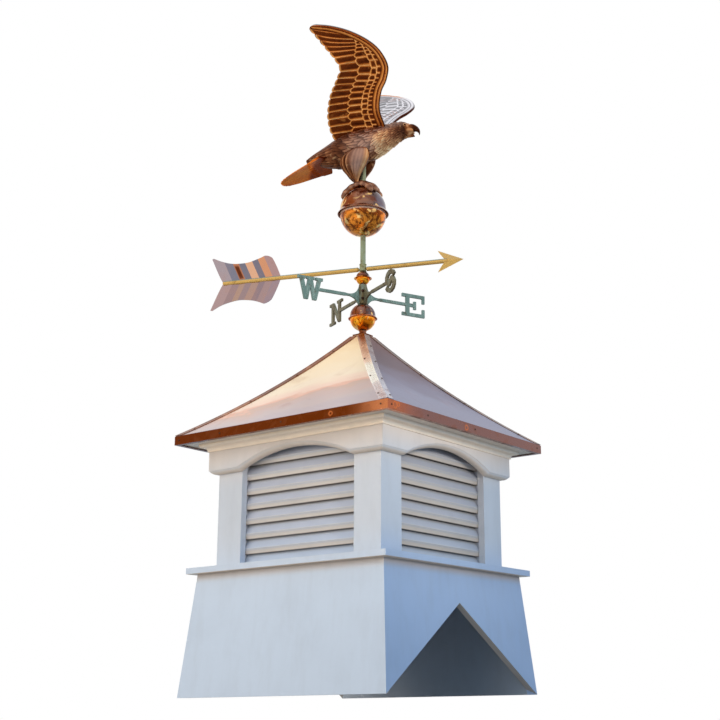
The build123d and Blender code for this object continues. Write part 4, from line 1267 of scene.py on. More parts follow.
@dataclass
class CopperRoof:
    """The flared roof: four sheets, their hip strips with screws, the fascia and the cap."""

    finishes: Finishes
    half: float = 0.3523
    top_half: float = 0.019
    eave: float = 0.6707
    rise: float = 0.2983
    sag: float = 0.0155
    copper: float = 0.0015
    hip_leg: float = 0.0245
    near_screws: tuple[float, ...] = (0.07, 0.36, 0.62, 0.84)
    far_screws: tuple[float, ...] = (0.10, 0.40, 0.66)
    fascia_face: float = 0.3539
    fascia_places: tuple[tuple[float, float], ...] = ((0.333, 0.6592), (-0.338, 0.658), (0.02, 0.6585),
        (-0.19, 0.6575))
    rows: int = 120
    columns: int = 60

    def arc(self, share: Array, lift: float = 0.0) -> tuple[Array, Array, Array, Array]:
        """The concave arc that one side of the roof follows from its eave to its peak.

        The arc's middle hangs below its chord by the sag, so its radius is
        (c^2 / 4 + s^2) / 2s for a chord c and a sag s.

        Args:
            share: how far up the arc, from 0 to 1.
            lift: how far above the surface.

        Returns:
            Distance out from the axis, height, and the two parts of the outward normal.
        """
        low, high = np.array([self.half, self.eave]), np.array([self.top_half, self.eave + self.rise])
        chord = float(np.hypot(*(high - low)))
        radius = (chord ** 2 / 4 + self.sag ** 2) / (2 * self.sag)
        along = (high - low) / chord
        outward = np.array([along[1], -along[0]])
        centre = (low + high) / 2 + outward * (radius - self.sag)
        half_angle = math.asin(chord / 2 / radius)
        angle = (2 * share - 1) * half_angle
        normal = outward * np.cos(angle)[..., None] - along * np.sin(angle)[..., None]
        point = centre - normal * (radius - lift)
        return point[..., 0], point[..., 1], normal[..., 0], normal[..., 1]

    def sheet(self, side: Side) -> Surface:
        """One copper sheet: lateral place u times the distance out, over the arc, a little uneven.

        The sheet stands off its true surface by a sum of long shallow sine waves of under 0.4 mm,
        which fades out at its edges.

        Args:
            side: which side of the roof.

        Returns:
            The closed sheet.
        """
        share, across = np.meshgrid(np.linspace(0, 1, self.rows), np.linspace(-1, 1, self.columns), indexing="ij")
        turn = side.value
        wave = (np.sin(7.1 * across + 2.3 * turn) * np.sin(9.0 * share + turn)
            + 0.6 * np.sin(13.0 * across * (1.2 - share) + 1.7 * turn + 4.0 * share))
        fade = ease(0.0, 0.1, share) * ease(0.0, 0.1, 1 - share) * ease(0.0, 0.12, 1 - np.abs(across))
        out, height, normal_out, normal_up = self.arc(share)
        lift = 0.00022 * wave * fade
        skins = []
        for depth in (0.0, -self.copper * 0.8):
            away = out + normal_out * (lift + depth)
            up = height + normal_up * (lift + depth)
            skins.append(stacked(across * away, -away, up))
        return shell(*skins).turned(turn * QUARTER)

    def hip(self, quarter: int) -> Surface:
        """One folded strip over a hip: two legs that lie on their sheets, hemmed at their edges.

        Across the strip, t runs from -1 to 1; its place is the hip line less |t| times the leg's
        width, on the left leg for t below 0 and mirrored for t above. It stands 1.4 mm off its
        sheets and turns down to them at its two edges.

        Args:
            quarter: which hip, by quarter turns.

        Returns:
            The closed strip.
        """
        rows, columns = 110, 25
        share, across = np.meshgrid(np.linspace(0.0, 0.985, rows), np.linspace(-1, 1, columns), indexing="ij")
        inward = np.abs(across)
        hem = 1.0 - ease(0.9, 1.0, inward)
        crest = 0.0006 * bell(inward, 0.12)
        skins = []
        for extra in (0.0, -0.0009):
            lift = 0.0002 + 0.0014 * hem + crest + extra * hem
            out, height, normal_out, normal_up = self.arc(share)
            away, up = out + normal_out * lift, height + normal_up * lift
            aside = np.maximum(away - inward * self.hip_leg, 0.0)
            left = stacked(aside, -away, up)
            right = stacked(away, -aside, up)
            skins.append(np.where(across[..., None] < 0, left, right))
        return shell(*skins).turned(quarter * QUARTER)

    def screws(self, quarter: int) -> Surface:
        """Small round screw heads down both legs of a hip strip.

        Args:
            quarter: which hip, by quarter turns.

        Returns:
            All its heads in one surface.
        """
        heads = []
        for share in self.near_screws + self.far_screws:
            mirrored = share in self.near_screws
            out, height, normal_out, normal_up = (float(value) for value in self.arc(np.array(share), 0.0015))
            place = 0.0180 if mirrored else 0.0195
            centre = Vector((out - place, -out, height))
            normal = Vector((0.0, -abs(normal_out) if normal_out > 0 else normal_out, normal_up))
            if mirrored:
                centre, normal = Vector((-centre.y, -centre.x, centre.z)), Vector((-normal.y, normal.x, normal.z))
            heads.append(screw_head(centre, normal, 0.0027, 0.0013))
        return together(*heads).turned(quarter * QUARTER)

    def fascia_screws(self) -> Surface:
        """Four dark screw heads along each side of the fascia.

        Returns:
            All its heads in one surface.
        """
        heads = []
        for quarter in range(4):
            row = [screw_head(Vector((place, -self.fascia_face, height)), Vector((0, -1, 0)), 0.0024, 0.0010)
                for place, height in self.fascia_places]
            heads += [head.turned(quarter * QUARTER) for head in row]
        return together(*heads)

    def cap(self) -> Surface:
        """The cap at the peak: a square rim that rises in a hollow curve to a round waisted neck.

        Each ring is a blend between a square and a circle: radius times
        (1 - k) / max(|cos a|, |sin a|) + k, where k goes from 0 at the rim to 1 at the neck.

        Returns:
            The closed cap.
        """
        box_low, box_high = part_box("roof_cap")
        half = box_high.x
        foot = box_low.z
        tall = box_high.z - foot
        stations = np.array([[MAST_BORE, 0.0, 1.0], [half, 0.0, 0.0], [half + 0.0003, 0.0010, 0.0],
            [half, 0.0020, 0.0], [half * 0.80, 0.0032, 0.10], [half * 0.64, 0.0048, 0.45], [0.0112, 0.0068, 0.95],
            [0.0104, 0.0078, 1.0], [0.0097, 0.0095, 1.0], [0.0099, 0.0115, 1.0], [0.0108, 0.0128, 1.0],
            [0.0110, tall, 1.0], [MAST_BORE, tall, 1.0]])
        angle = round_angles(72)
        square = 1.0 / np.maximum(np.abs(np.cos(angle)), np.abs(np.sin(angle)))
        round_share = stations[:, 2][:, None]
        radius = stations[:, 0][:, None] * ((1 - round_share) * square + round_share)
        height = foot + stations[:, 1][:, None]
        points = stacked(radius * np.cos(angle), radius * np.sin(angle), height)
        return wound(points, closed=True)

    def build(self) -> None:
        """Makes and dresses the roof."""
        finishes = self.finishes
        for side in Side:
            copper = finishes.roof_lit if side in (Side.FRONT, Side.LEFT) else finishes.roof_shade
            add_piece(f"copper_sheet_{side.word}", self.sheet(side), Body.CUPOLA, copper,
                (f"roof_panel_{side.word}",))
        hips = [self.hip(quarter) for quarter in range(4)]
        add_piece("hip_strips", together(*hips), Body.CUPOLA, finishes.hip, ("hip_caps",), 60)
        heads = [self.screws(quarter) for quarter in range(4)]
        add_piece("hip_screws", together(*heads), Body.CUPOLA, finishes.screw)
        add_piece("fascia_screws", self.fascia_screws(), Body.CUPOLA, finishes.screw)
        add_piece("peak_cap", self.cap(), Body.CUPOLA, finishes.cap, ("roof_cap",), 50)
        dress("fascia", finishes.fascia)
        dress("roof_deck", finishes.plywood)
        dress("mast_block", finishes.plywood)
        dress("mast", finishes.steel)


def screw_head(centre: Vector, normal: Vector, radius: float, height: float) -> Surface:
    """A low domed screw head with a driver's recess.

    Args:
        centre: the middle of its foot.
        normal: which way it faces.
        radius, height: its size.

    Returns:
        The closed head.
    """
    profile = np.array([[0.0, -0.3], [1.0, -0.3], [1.0, 0.2], [0.85, 0.7], [0.5, 1.0], [0.34, 1.0], [0.28, 0.4],
        [0.0, 0.4]])
    return lathe(profile * np.array([radius, height]), 12).facing(normal).moved(centre)


@dataclass
class SpunBall:
    """A ball spun in two halves: a bowl, and a dome that flares into a brim over it."""

    name: str
    bowl_node: str
    dome_node: str
    body: Body
    wall: float = 0.0013
    segments: int = 128
    small: float = 0.05
    tube_bore: float = 0.0077

    def build(self, material: Material) -> None:
        """Makes both halves where their nodes stand.

        The bowl is an arc of a circle. The dome is an arc of the same circle, raised, that flares
        in a short curve to its brim, with a rolled edge.

        Args:
            material: the finish of both.
        """
        low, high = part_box(self.bowl_node)
        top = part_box(self.dome_node)[1]
        radius, brim = high.x, top.x
        bore = MAST_BORE if radius < self.small else self.tube_bore
        contact = math.sqrt(radius ** 2 - bore ** 2)
        centre = low.z + contact
        seat = high.z - centre
        rise = top.z - centre - contact
        angle = np.linspace(math.asin(bore / radius) - QUARTER, math.asin(seat / radius), 48)
        outer, inner = (stacked(size * np.cos(angle), centre + size * np.sin(angle))
            for size in (radius, radius - self.wall))
        bowl = lathe(np.vstack([outer, inner[::-1]]), self.segments, closed=True)
        level = (outer[:, 1] - centre) / radius
        # rim marks the bowl's top band just under the brim, which the finish paints as a pale painted reflection.
        rim = ease(-0.10, -0.045, level) * ease(0.03, 0.0, level)
        bowl.marks["rim"] = np.repeat(np.concatenate([rim, 0 * rim]), self.segments)
        angle = np.linspace(math.asin((1.6 * seat - rise) / radius), math.acos(bore / radius), 44)
        crown = stacked(radius * np.cos(angle), centre + rise + radius * np.sin(angle))
        keys = np.array([[brim, centre], [radius + 0.18 * (brim - radius), centre + 0.85 * seat], crown[0]])
        skin = np.vstack([curve_through(keys, np.linspace(0, 1, 14, endpoint=False)), crown])
        roll = skin[0] + np.array([[-0.0012, -0.0006], [-0.0002, -0.0009], [0.0004, -0.0004]])
        inside = skin[1:] + np.array([-self.wall, -0.0002])
        dome = lathe(np.vstack([roll, skin, inside[::-1]]), self.segments, closed=True)
        # flare marks the brim's roll, lip and underside, which the finish paints lighter and less metallic, as
        # painted light.
        lip = ease(centre + 0.55 * seat, centre + 0.1 * seat, skin[:, 1])
        under = ease(centre + 0.9 * seat, centre, inside[:, 1])
        dome.marks["flare"] = np.repeat(np.concatenate([np.ones(3), lip, under[::-1]]), self.segments)
        add_piece(self.name + "_bowl", bowl, self.body, material, (self.bowl_node,))
        add_piece(self.name + "_dome", dome, self.body, material, (self.dome_node,))


@dataclass
class Compass:
    """The fixed brass compass with its hub's screws, and the balls under and over it."""

    finishes: Finishes
    hub_way: float = math.radians(-52)
    hub_radius: float = 0.0108
    screw_steps: tuple[float, float] = (-0.008, 0.014)

    def build(self) -> None:
        """Dresses the castings and makes the lower ball and the hub's screws."""
        finishes = self.finishes
        SpunBall("lower_ball", "lower_ball_bowl", "lower_ball_dome", Body.CUPOLA).build(finishes.small_ball)
        dress("small_ball", finishes.small_ball)
        dress("compass_east_west", finishes.compass)
        dress("compass_north_south", finishes.compass_brown)
        low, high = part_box("compass_east_west")
        middle = (low.z + high.z) / 2
        toward = Vector((math.cos(self.hub_way), math.sin(self.hub_way), 0))
        heads = [screw_head(toward * self.hub_radius + Vector((0, 0, middle + step)), toward, 0.0045, 0.0035)
            for step in self.screw_steps]
        add_piece("hub_screws", together(*heads), Body.CUPOLA, finishes.screw)


@dataclass
class Arrow:
    """The turning tube with its collar, and the arrow with its head and fletching.

    Places along the rod are measured from the mast's axis: tail, tip and notch (where the
    fletching starts). The fletching's halves are highest at the peak and lowest at the waist.
    """

    finishes: Finishes
    tail: float = 0.429
    tip: float = 0.293
    radius: float = 0.0066
    head_length: float = 0.074
    head_notch: float = 0.026
    notch: float = 0.427
    length: float = 0.180
    nose: float = 0.053
    waist_place: float = 0.049
    sweep: float = 0.038
    peak_half: float = 0.073
    waist_half: float = 0.056
    corner_half: float = 0.084
    bands: int = 7

    def level(self) -> float:
        """The height of the arrow's rod."""
        low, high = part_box("arrow_shaft")
        return (low.z + high.z) / 2

    def rod(self) -> Surface:
        """The rod in two lengths with rounded ends, each from the collar outwards.

        A ring's radius is the rod's times the square root of its distance from the nearer end over
        1.2 mm, and the rod's own further in.

        Returns:
            Both lengths, closed.
        """
        collar = 0.0098
        lengths = []
        for start, end in ((-self.tail, -collar), (collar, self.tip - self.head_length + self.head_notch + 0.004)):
            place = np.linspace(start, end, 90)
            ends = np.minimum(place - start, end - place)
            round_end = np.sqrt(np.clip(ends / 0.0012, 0.05, 1.0))
            path = stacked(place, 0.0, self.level())
            lengths.append(swept(path, self.radius * round_end, self.radius * round_end, 40))
        return together(*lengths).turned(VANE_HEADING)

    def tube(self) -> Surface:
        """The tube with its collar, turned: a bead at each end of the collar and a plain pipe above.

        Returns:
            The closed tube, with its plugged top and the bore that the mast's tip meets.
        """
        low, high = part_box("vane_tube")
        foot, top = low.z, high.z
        collar = high.x
        profile = np.array([[MAST_BORE, foot], [collar - 0.0008, foot], [collar, foot + 0.0008],
            [collar, foot + 0.0021], [collar - 0.0007, foot + 0.0028], [collar - 0.0007, foot + 0.0186],
            [collar, foot + 0.0194], [collar, foot + 0.0210], [collar - 0.0008, foot + 0.0218],
            [0.0080, foot + 0.0224], [0.00765, foot + 0.0236], [0.00765, top], [0.0, top]])
        rings = np.vstack([profile, [[0.0, foot + 0.09], [MAST_BORE, foot + 0.0885]]])
        return lathe(rings, 48, closed=True)

    def half_height(self, forward: Array) -> Array:
        """Half height of the fletching: an arc of the nose, then a hollow curve to the back corner.

        The hollow curve is the parabola through the heights at the corner, the waist and the peak.

        Args:
            forward: places along the rod.

        Returns:
            The half height at each.
        """
        front = self.length - self.notch
        peak = front - self.nose
        waist = -self.notch + self.waist_place
        corner = -self.notch - self.sweep
        nose = self.peak_half * np.sqrt(np.clip(1 - ((forward - peak) / self.nose) ** 2, 0, 1)) ** 1.15
        keys = np.array([corner, waist, peak])
        levels = (self.corner_half, self.waist_half, self.peak_half)
        spread = [(forward - keys[(k + 1) % 3]) * (forward - keys[(k + 2) % 3])
            / ((keys[k] - keys[(k + 1) % 3]) * (keys[k] - keys[(k + 2) % 3])) for k in range(3)]
        hollow = sum(level * weight for level, weight in zip(levels, spread))
        return np.where(forward > peak, nose, hollow)

    def fletching(self) -> Surface:
        """Both halves of the fletching: a sheet folded to and fro in bands along its back edge.

        On each half, v runs from the rod to the outline and u from the back edge, which leans back
        with height, to the front; the sheet stands off its plane by a zigzag of the distance
        across the bands, eased at each fold.

        Returns:
            The two closed sheets, with their band and half as values.
        """
        rows, columns = 120, 44
        slope = math.hypot(self.sweep, self.corner_half)
        halves = []
        for sign in (1.0, -1.0):
            along, out = np.meshgrid(np.linspace(0, 1, rows), np.linspace(0, 1, columns), indexing="ij")
            front = self.length - self.notch
            back = -self.notch - self.sweep * out
            front_edge = front - 0.53 * self.nose * out ** 2.6
            forward = back + (front_edge - back) * along
            limit = self.half_height(np.clip(forward, -self.notch - self.sweep, front - 1e-5))
            corner = 1 - 0.06 * bell(along, 0.02) * out ** 4
            up = out * np.maximum(limit, 0.0) * corner
            across = (self.corner_half * (forward + self.notch) + self.sweep * up) / slope
            width = self.length * self.corner_half / slope
            phase = across / (width / self.bands)
            fold = 2 * np.abs((phase / 2) % 1.0 - 0.5) * 2 - 1
            stand = 0.0007 * np.sin(np.clip(fold * 1.25, -1, 1) * np.pi / 2)
            level = self.level() + sign * up
            skins = [stacked(forward, stand + half, level) for half in (0.0008, -0.0008)]
            marks = {"band": np.clip(across / width, 0, 1), "half": sign * out}
            halves.append(shell(*skins, marks=marks))
        return together(*halves).turned(VANE_HEADING)

    def head(self) -> Surface:
        """The barbed head: a diamond section whose ridge falls to a sharp point and sharp barbs.

        A point of the section at angle a is (cos a, sin a) over |cos a| + |sin a|; its height
        shrinks evenly to the tip, and each line starts further back the higher it lies.

        Returns:
            The closed head.
        """
        rows, columns = 40, 48
        low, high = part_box("arrow_head")
        half = (high.z - low.z) / 2
        back = self.tip - self.head_length
        along = np.linspace(0, 1, rows)[:, None]
        angle = round_angles(columns)[None, :]
        cosine, sine = np.cos(angle), np.sin(angle)
        size = np.abs(cosine) + np.abs(sine)
        lateral, upright = cosine / size, sine / size
        reach = np.abs(upright)
        start = back + self.head_notch * (1 - reach)
        forward = start + (self.tip - start) * along
        outline = half * (self.tip - forward) / self.head_length
        thick = 0.0072 * ((self.tip - forward) / self.head_length) ** 0.8
        up = upright * np.maximum(outline, 0.0)
        aside = lateral * np.maximum(thick, 0.0)
        points = stacked(forward, aside, self.level() + up)
        hub = np.zeros((1, columns, 3))
        hub[..., 0] = back + self.head_notch + 0.002
        hub[..., 2] = self.level()
        rings = np.concatenate([hub, points])
        return wound(rings).turned(VANE_HEADING)

    def build(self) -> None:
        """Makes and dresses the arrow and its tube."""
        finishes = self.finishes
        add_piece("turning_tube", self.tube(), Body.VANE, finishes.tube, ("vane_tube",))
        add_piece("arrow_rod", self.rod(), Body.VANE, finishes.rod, ("arrow_shaft",))
        add_piece("arrow_point", self.head(), Body.VANE, finishes.rod, ("arrow_head",), 30)
        add_piece("arrow_fletching", self.fletching(), Body.VANE, finishes.fletch,
            ("fletching",), 25)


@dataclass
class Eagle:
    """The beaten copper eagle on its ball, in hundredths of its length from the ball's top."""

    finishes: Finishes
    unit: float = 0.00414
    lean: float = 0.15
    rise: float = math.radians(49.0)
    root_height: float = 36.2
    feathers: int = 16
    tail_slope: float = math.radians(21.0)
    tail_root: Triple = (-26.0, 0.0, 24.0)
    trunk_rings: Array = field(default_factory=lambda: np.array([[-42.0, 25.4, 1.6, 1.2], [-36.0, 26.0, 4.4, 3.8],
        [-28.5, 26.6, 6.4, 7.0], [-19.3, 28.0, 8.2, 10.4], [-9.7, 29.6, 9.6, 12.6], [1.2, 32.2, 10.1, 12.2],
        [10.9, 34.5, 9.2, 10.9], [19.3, 37.5, 7.2, 9.2], [25.4, 39.7, 6.0, 7.6], [30.2, 40.6, 5.2, 6.4],
        [34.2, 40.1, 3.8, 4.5], [36.8, 39.5, 2.2, 2.7]]))
    front_edge: Array = field(default_factory=lambda: np.array([[17.0, 1.0], [17.8, 8.2], [16.4, 20.5],
        [19.8, 32.2], [25.3, 40.5], [28.3, 50.0], [24.8, 60.9], [17.8, 69.2], [6.6, 76.9], [-5.8, 82.1],
        [-18.2, 85.0]]))
    back_edge: Array = field(default_factory=lambda: np.array([[-20.0, 1.0], [-22.6, 9.6], [-22.3, 21.0],
        [-17.6, 34.3], [-10.4, 45.4], [-6.4, 52.4], [-9.0, 60.0], [-13.0, 67.0], [-17.0, 74.0], [-20.2, 79.4],
        [-22.0, 82.4]]))

    def trunk(self) -> Surface:
        """Trunk, neck and head: rings whose centre and half sizes follow curves through the stations.

        A ring's point is c + y a cos(t) + n b sin(t), where n leans back. Irregular feathers swell
        the ring: each rises towards its end and falls off at its border. A bump over each eye makes
        the brow, and a dip the socket. Behind, the feathers give way to ribs along the rump.

        Returns:
            The closed trunk with its relief, painted light and shade laid into it, and where it is golden, as
            values.
        """
        rows, columns = 250, 216
        share = np.linspace(0, 1, rows)
        ring = curve_through(self.trunk_rings, share)
        angle = round_angles(columns)[None]
        forward, up, wide, high = (ring[:, index][:, None] for index in range(4))
        cosine, sine = np.cos(angle), np.sin(angle)
        lean_size = math.hypot(1.0, self.lean)
        along = share[:, None] + 0 * angle
        per_row = 30
        rear, edge, tone = scattered_cells((1 - along) * 22.0 + 0.5 * np.sin(3 * angle + 9 * along),
            angle / (2 * np.pi) * per_row + 1.2 * np.sin(11 * along), per_row)
        feather = np.clip(0.5 + 0.6 * rear, 0, 1) * ease(0.0, 0.22, edge)
        smooth = ease(0.82, 0.90, along)
        rump = ease(0.30, 0.20, along)
        ribs = 0.5 + 0.5 * np.cos(angle * 22 + 4 * along)
        size = 0.55 * (1 - smooth) * (1 - rump)
        relief = size * (feather - 0.5 + 0.5 * tone) + 0.22 * rump * ribs
        aside = np.abs(np.abs(angle - np.pi / 2) - 0.75)
        brow = 0.75 * bell(along - 0.925, 0.030) * bell(aside, 0.22)
        below = np.abs(np.abs(angle - np.pi / 2) - 1.18)
        socket = -0.7 * bell(along - 0.935, 0.020) * bell(below, 0.18)
        reach = 1 + (relief + brow + socket) / np.maximum(wide, 2.5)
        side = wide * cosine * reach
        tall = high * sine * reach
        points = stacked(forward - self.lean / lean_size * tall, side, up + tall / lean_size)
        # The breast's lower side is painted lighter, as painted light.
        front = ease(0.48, 0.58, along) * ease(0.55, 0.0, sine + 0 * along)
        flock = 0.06 + 0.56 * feather + 0.30 * tone * feather + (0.30 + 0.42 * tone) * front
        # Painted shade darkens the rear; on the head, the brow is painted lighter as a painted highlight and the
        # socket darker as painted shade.
        dark = ease(0.46, 0.30, along)
        plain = (0.44 + 0.45 * np.clip(brow, 0, 1) + 0.4 * np.clip(socket, -1, 0)
            + 0.10 * np.sin(9 * angle + 30 * along))
        mark = flock * (1 - smooth) + plain * smooth
        mark = mark * (1 - 0.72 * dark)
        # The rump takes its ribs on a dark ground, as painted shade.
        mark = np.clip(mark * (1 - rump) + rump * (0.04 + 0.20 * ribs + 0.20 * feather), 0, 1)
        warm = np.clip(0.85 * front + 0.55 * smooth + 0.92 * dark * ease(0.85, 0.55, sine + 0 * along), 0, 1)
        return capped(points, {"relief": mark, "warm": warm})

    def beak(self) -> Surface:
        """The open beak: a hooked upper half and a shorter lower half, as tubes that thin to a point.

        Returns:
            Both halves, closed, darker towards their tips.
        """
        upper = np.array([[32.4, 40.6], [35.6, 41.2], [38.2, 40.4], [40.0, 38.9], [40.9, 36.8], [40.9, 35.2]])
        lower = np.array([[31.0, 36.9], [34.0, 36.2], [36.3, 35.4], [37.6, 34.7]])
        halves = ((upper, (3.6, 3.0, 2.1, 1.3, 0.55, 0.12), (4.0, 3.2, 2.4, 1.6, 0.8, 0.15), 40),
            (lower, (2.8, 1.9, 1.1, 0.25), (1.6, 1.0, 0.6, 0.15), 24))
        pieces = []
        for line, wide, high, rings in halves:
            share = np.linspace(0, 1, rings)
            centre = curve_through(line, share)
            size = curve_through(stacked(wide, high), share)
            path = stacked(centre[:, 0], 0.0, centre[:, 1])
            tube = swept(path, size[:, 0], size[:, 1], 32, up=(0, 1, 0))
            dark = ease(33.5, 38.5, tube.points[:, 0])
            marks = {"relief": 0.34 - 0.34 * dark, "warm": np.ones(len(dark))}
            pieces.append(Surface(tube.points, tube.faces, marks))
        return together(*pieces)

    def eyes(self) -> Surface:
        """Two round eyes: a dark pupil in a ring of raised skin, turned about its own axis.

        Returns:
            Both eyes, closed.
        """
        profile = np.array([[0.0, -0.6], [1.0, -0.4], [1.25, 0.0], [1.1, 0.28], [0.9, 0.18], [0.8, 0.3],
            [0.5, 0.55], [0.0, 0.68]])
        eyes = []
        for side in (1.0, -1.0):
            eye = lathe(profile * 0.95, 24).facing(Vector((0.35, side, 0.18))).moved((31.6, side * 4.35, 42.4))
            pupil = np.repeat(np.where(profile[:, 0] < 0.85, 0.0, 0.75), 24)
            eyes.append(Surface(eye.points, eye.faces, {"relief": pupil, "warm": np.ones(len(pupil))}))
        return together(*eyes)

    def wing(self) -> Surface:
        """One raised wing as an embossed sheet, in its own plane first: forward, outward, upward.

        A point lies between the front edge and the back edge at share v of the chord, arched by
        0.3 v (1 - v) of it. The front edge is a round bead with a second bead behind it. Rows of
        feathers follow: each row's feathers are told apart by how far along the back edge their
        line ends, lines leaning outwards near the tip. Ridges stand between and round the ends of
        the feathers, and the back edge is cut in a round scallop for each flight feather.

        Returns:
            The closed wing, rising to the +Y side, with its relief as a value.
        """
        rows, columns = 340, 118
        span = np.linspace(0, 1, rows)
        lead, trail = curve_through(self.front_edge, span), curve_through(self.back_edge, span)
        nose = 0.5 * (1 - np.cos(np.linspace(0, np.pi / 2, 10, endpoint=False)))
        chord_share = np.concatenate([nose * 0.05, np.linspace(0.025, 1, columns - 10)])
        u, v = np.meshgrid(span, chord_share, indexing="ij")
        chord = np.linalg.norm(trail - lead, axis=1)[:, None]
        steps = np.concatenate([[0.0], np.cumsum(np.linalg.norm(np.diff(trail, axis=0), axis=1))])
        edge_line = lead[::3]
        lead, trail = lead[:, None], trail[:, None]
        start = np.interp(0.08, span, steps)
        edge = (steps - start) / (steps[-1] - start)
        lean_out = 0.34 * ease(0.55, 0.86, u)

        def line(offset: float, count: float) -> Array:
            """Which feather of a row a point is in, counted along the back edge."""
            aimed = np.clip(u + lean_out * (1 - v), 0, 1.2)
            return np.interp(aimed, span, edge, right=1.0) * count + offset + np.maximum(aimed - 1, 0) * count

        narrow = 1 - ease(0.54, 0.80, u)
        bead_width = np.interp(u, [0.0, 0.5, 0.8, 1.0], [6.4, 5.8, 4.8, 3.4])
        nearest = flat_distance(lead + (trail - lead) * v[..., None], edge_line)
        bead_zone = bead_width / chord
        limits = [(bead_zone + (stop - 0.16) * narrow, count, offset, False)
            for stop, count, offset in ((0.265, 24.0, 0.0), (0.38, 20.0, 0.5), (0.645, 16.0, 0.5))]
        limits.append((np.full_like(u, 1.0), float(self.feathers), 0.0, True))
        height = np.zeros_like(u)
        claimed = np.zeros_like(u, dtype=bool)
        previous = bead_zone
        for stop, count, offset, last in limits:
            part = line(offset, count) % 1.0
            between = 2 * np.abs(part - 0.5)
            room = np.maximum(stop - previous, 0.02)
            end = stop - (0.0 if last else 0.20) * room * between ** 2.4
            inside = (v < end) & ~claimed
            rib = 0.62 * np.exp(-((part / 0.30) ** 4)) + 0.62 * np.exp(-(((1 - part) / 0.16) ** 4))
            rib = np.minimum(rib, 0.62) + 0.36 * bell(part - 0.04, 0.08)
            rim = 0.92 * bell((end - v) * chord - 0.7, 0.8)
            floor = 0.02 + 0.16 * part + 0.16 * ease(0.4, 1.0, (v - previous) / room)
            cell = np.maximum(np.maximum(rib, rim), floor)
            cell = np.where(((end - v) * chord < 0.25) & last, 0.05, cell)
            height = np.where(inside, cell, height)
            claimed |= inside
            previous = end
        in_bead = 1 - ease(0.92, 1.0, nearest / bead_width)
        # The bead's level falls to 0 at its front edge, lowering it and painting it dark there as a painted dark
        # reflection along the rim.
        stripe_places = [0, 0.05, 0.12, 0.26, 0.38, 0.44, 0.50, 0.60, 0.76, 0.84, 0.93, 1.0]
        stripe_levels = [0.0, 0.04, 0.55, 0.98, 0.66, 0.04, 0.10, 0.86, 0.60, 0.40, 0.02, 0.02]
        stripes = np.interp(nearest / bead_width, stripe_places, stripe_levels)
        stripes = stripes * (1 - 0.45 * ease(0.35, 0.0, u))
        height = height * (1 - in_bead) + in_bead * stripes
        bead = np.minimum(1.25, 0.2 * chord)
        away = v * chord
        nose_half = np.sqrt(np.clip(bead ** 2 - (away - bead) ** 2, 0, None))
        tail_half = 0.28 + (bead - 0.28) * np.exp(-np.maximum(away - bead, 0) / (0.8 * bead))
        half = np.where(away < bead, nose_half, tail_half)
        half = np.minimum(half, 0.28 + 3.0 * (1 - v) * chord * 0.2)
        part = line(0.0, float(self.feathers)) % 1.0
        lobe = np.sqrt(np.clip(1 - (2 * part - 1) ** 2, 0, 1))
        cut = 1.5 * (1 - lobe) * ease(0.75, 1.0, v) * ease(0.0, 0.1, u) * np.minimum(1.0, chord / 10)
        reach = (away - cut) / chord
        blunt = np.sqrt(np.clip(1 - (np.clip(u - 0.978, 0, 1) / 0.0221) ** 2, 0.02, 1))
        reach = 0.5 + (reach - 0.5) * blunt
        flat = lead + (trail - lead) * reach[..., None]
        arch = 0.30 * chord * v * (1 - v)
        down = 0.50 * height * (1 - 0.3 * in_bead)
        tiles = 0.20 * ease(0.2, 1.0, part) * (1 - in_bead)
        upper = np.concatenate([flat, (arch + half - 0.8 * down + tiles)[..., None]], axis=-1)
        lower = np.concatenate([flat, (arch - half - down + tiles)[..., None]], axis=-1)
        sheet = shell(upper, lower, {"relief": height})
        forward, out, over = sheet.points.T
        cosine, sine = math.cos(self.rise), math.sin(self.rise)
        points = stacked(forward, out * cosine - over * sine, self.root_height + out * sine + over * cosine)
        return Surface(points, sheet.faces, sheet.marks)

    def tail(self) -> Surface:
        """The spread tail: a fan of feathers with round ends, arched across its width.

        u runs from the root, which lies inside the rump, to the end, and w across. The half width
        falls evenly along u, and the sheet hangs in a circle of the bend's radius. Ribs stand at
        the feathers' borders, with quills, barbs and fine lines between them.

        Returns:
            The closed tail with its relief as a value, with painted shade laid in under the rump.
        """
        rows, columns = 130, 190
        length, root_half, end_half, bend, count = 37.5, 14.5, 7.0, 60.0, 9
        u, w = np.meshgrid(np.linspace(0, 1, rows), np.linspace(-1, 1, columns), indexing="ij")
        feather = (w + 1) / 2 * count
        part = np.clip(feather, 0, count - 1e-6) % 1.0
        lobe = np.sqrt(np.clip(1 - (2 * part - 1) ** 2, 0, 1))
        reach = length * (1 - 0.13 * np.abs(w) ** 2.6) - 1.6 * (1 - lobe) * ease(0.7, 1.0, u)
        back = -u * reach
        half = (root_half + (end_half - root_half) * u) * ease(-0.08, 0.10, u)
        half = half * (1 - 0.10 * ease(0.85, 1.0, u))
        swing = w * half / bend
        aside = bend * np.sin(swing)
        drop = bend * (np.cos(swing) - 1)
        rib = bell(np.minimum(part, 1 - part), 0.07)
        quill = bell(part - 0.5, 0.05)
        barbs = 0.5 + 0.5 * np.sin(2 * np.pi * (u * 26 + np.abs(part - 0.5) * 5))
        fine = 0.5 + 0.5 * np.cos(2 * np.pi * w * 8.5)
        height = np.clip(0.75 * rib + 0.30 * quill + 0.10 * barbs * (1 - rib) + 0.45 * fine, 0, 1)
        covert = ease(0.36, 0.30, u + 0.05 * np.cos(part * 2 * np.pi))
        lift = 0.16 * height + 0.5 * covert
        thick = 0.36
        upper = stacked(back, aside, drop + thick / 2 + lift)
        lower = stacked(back, aside, drop - thick / 2 - 0.16 * height - 0.5 * covert)
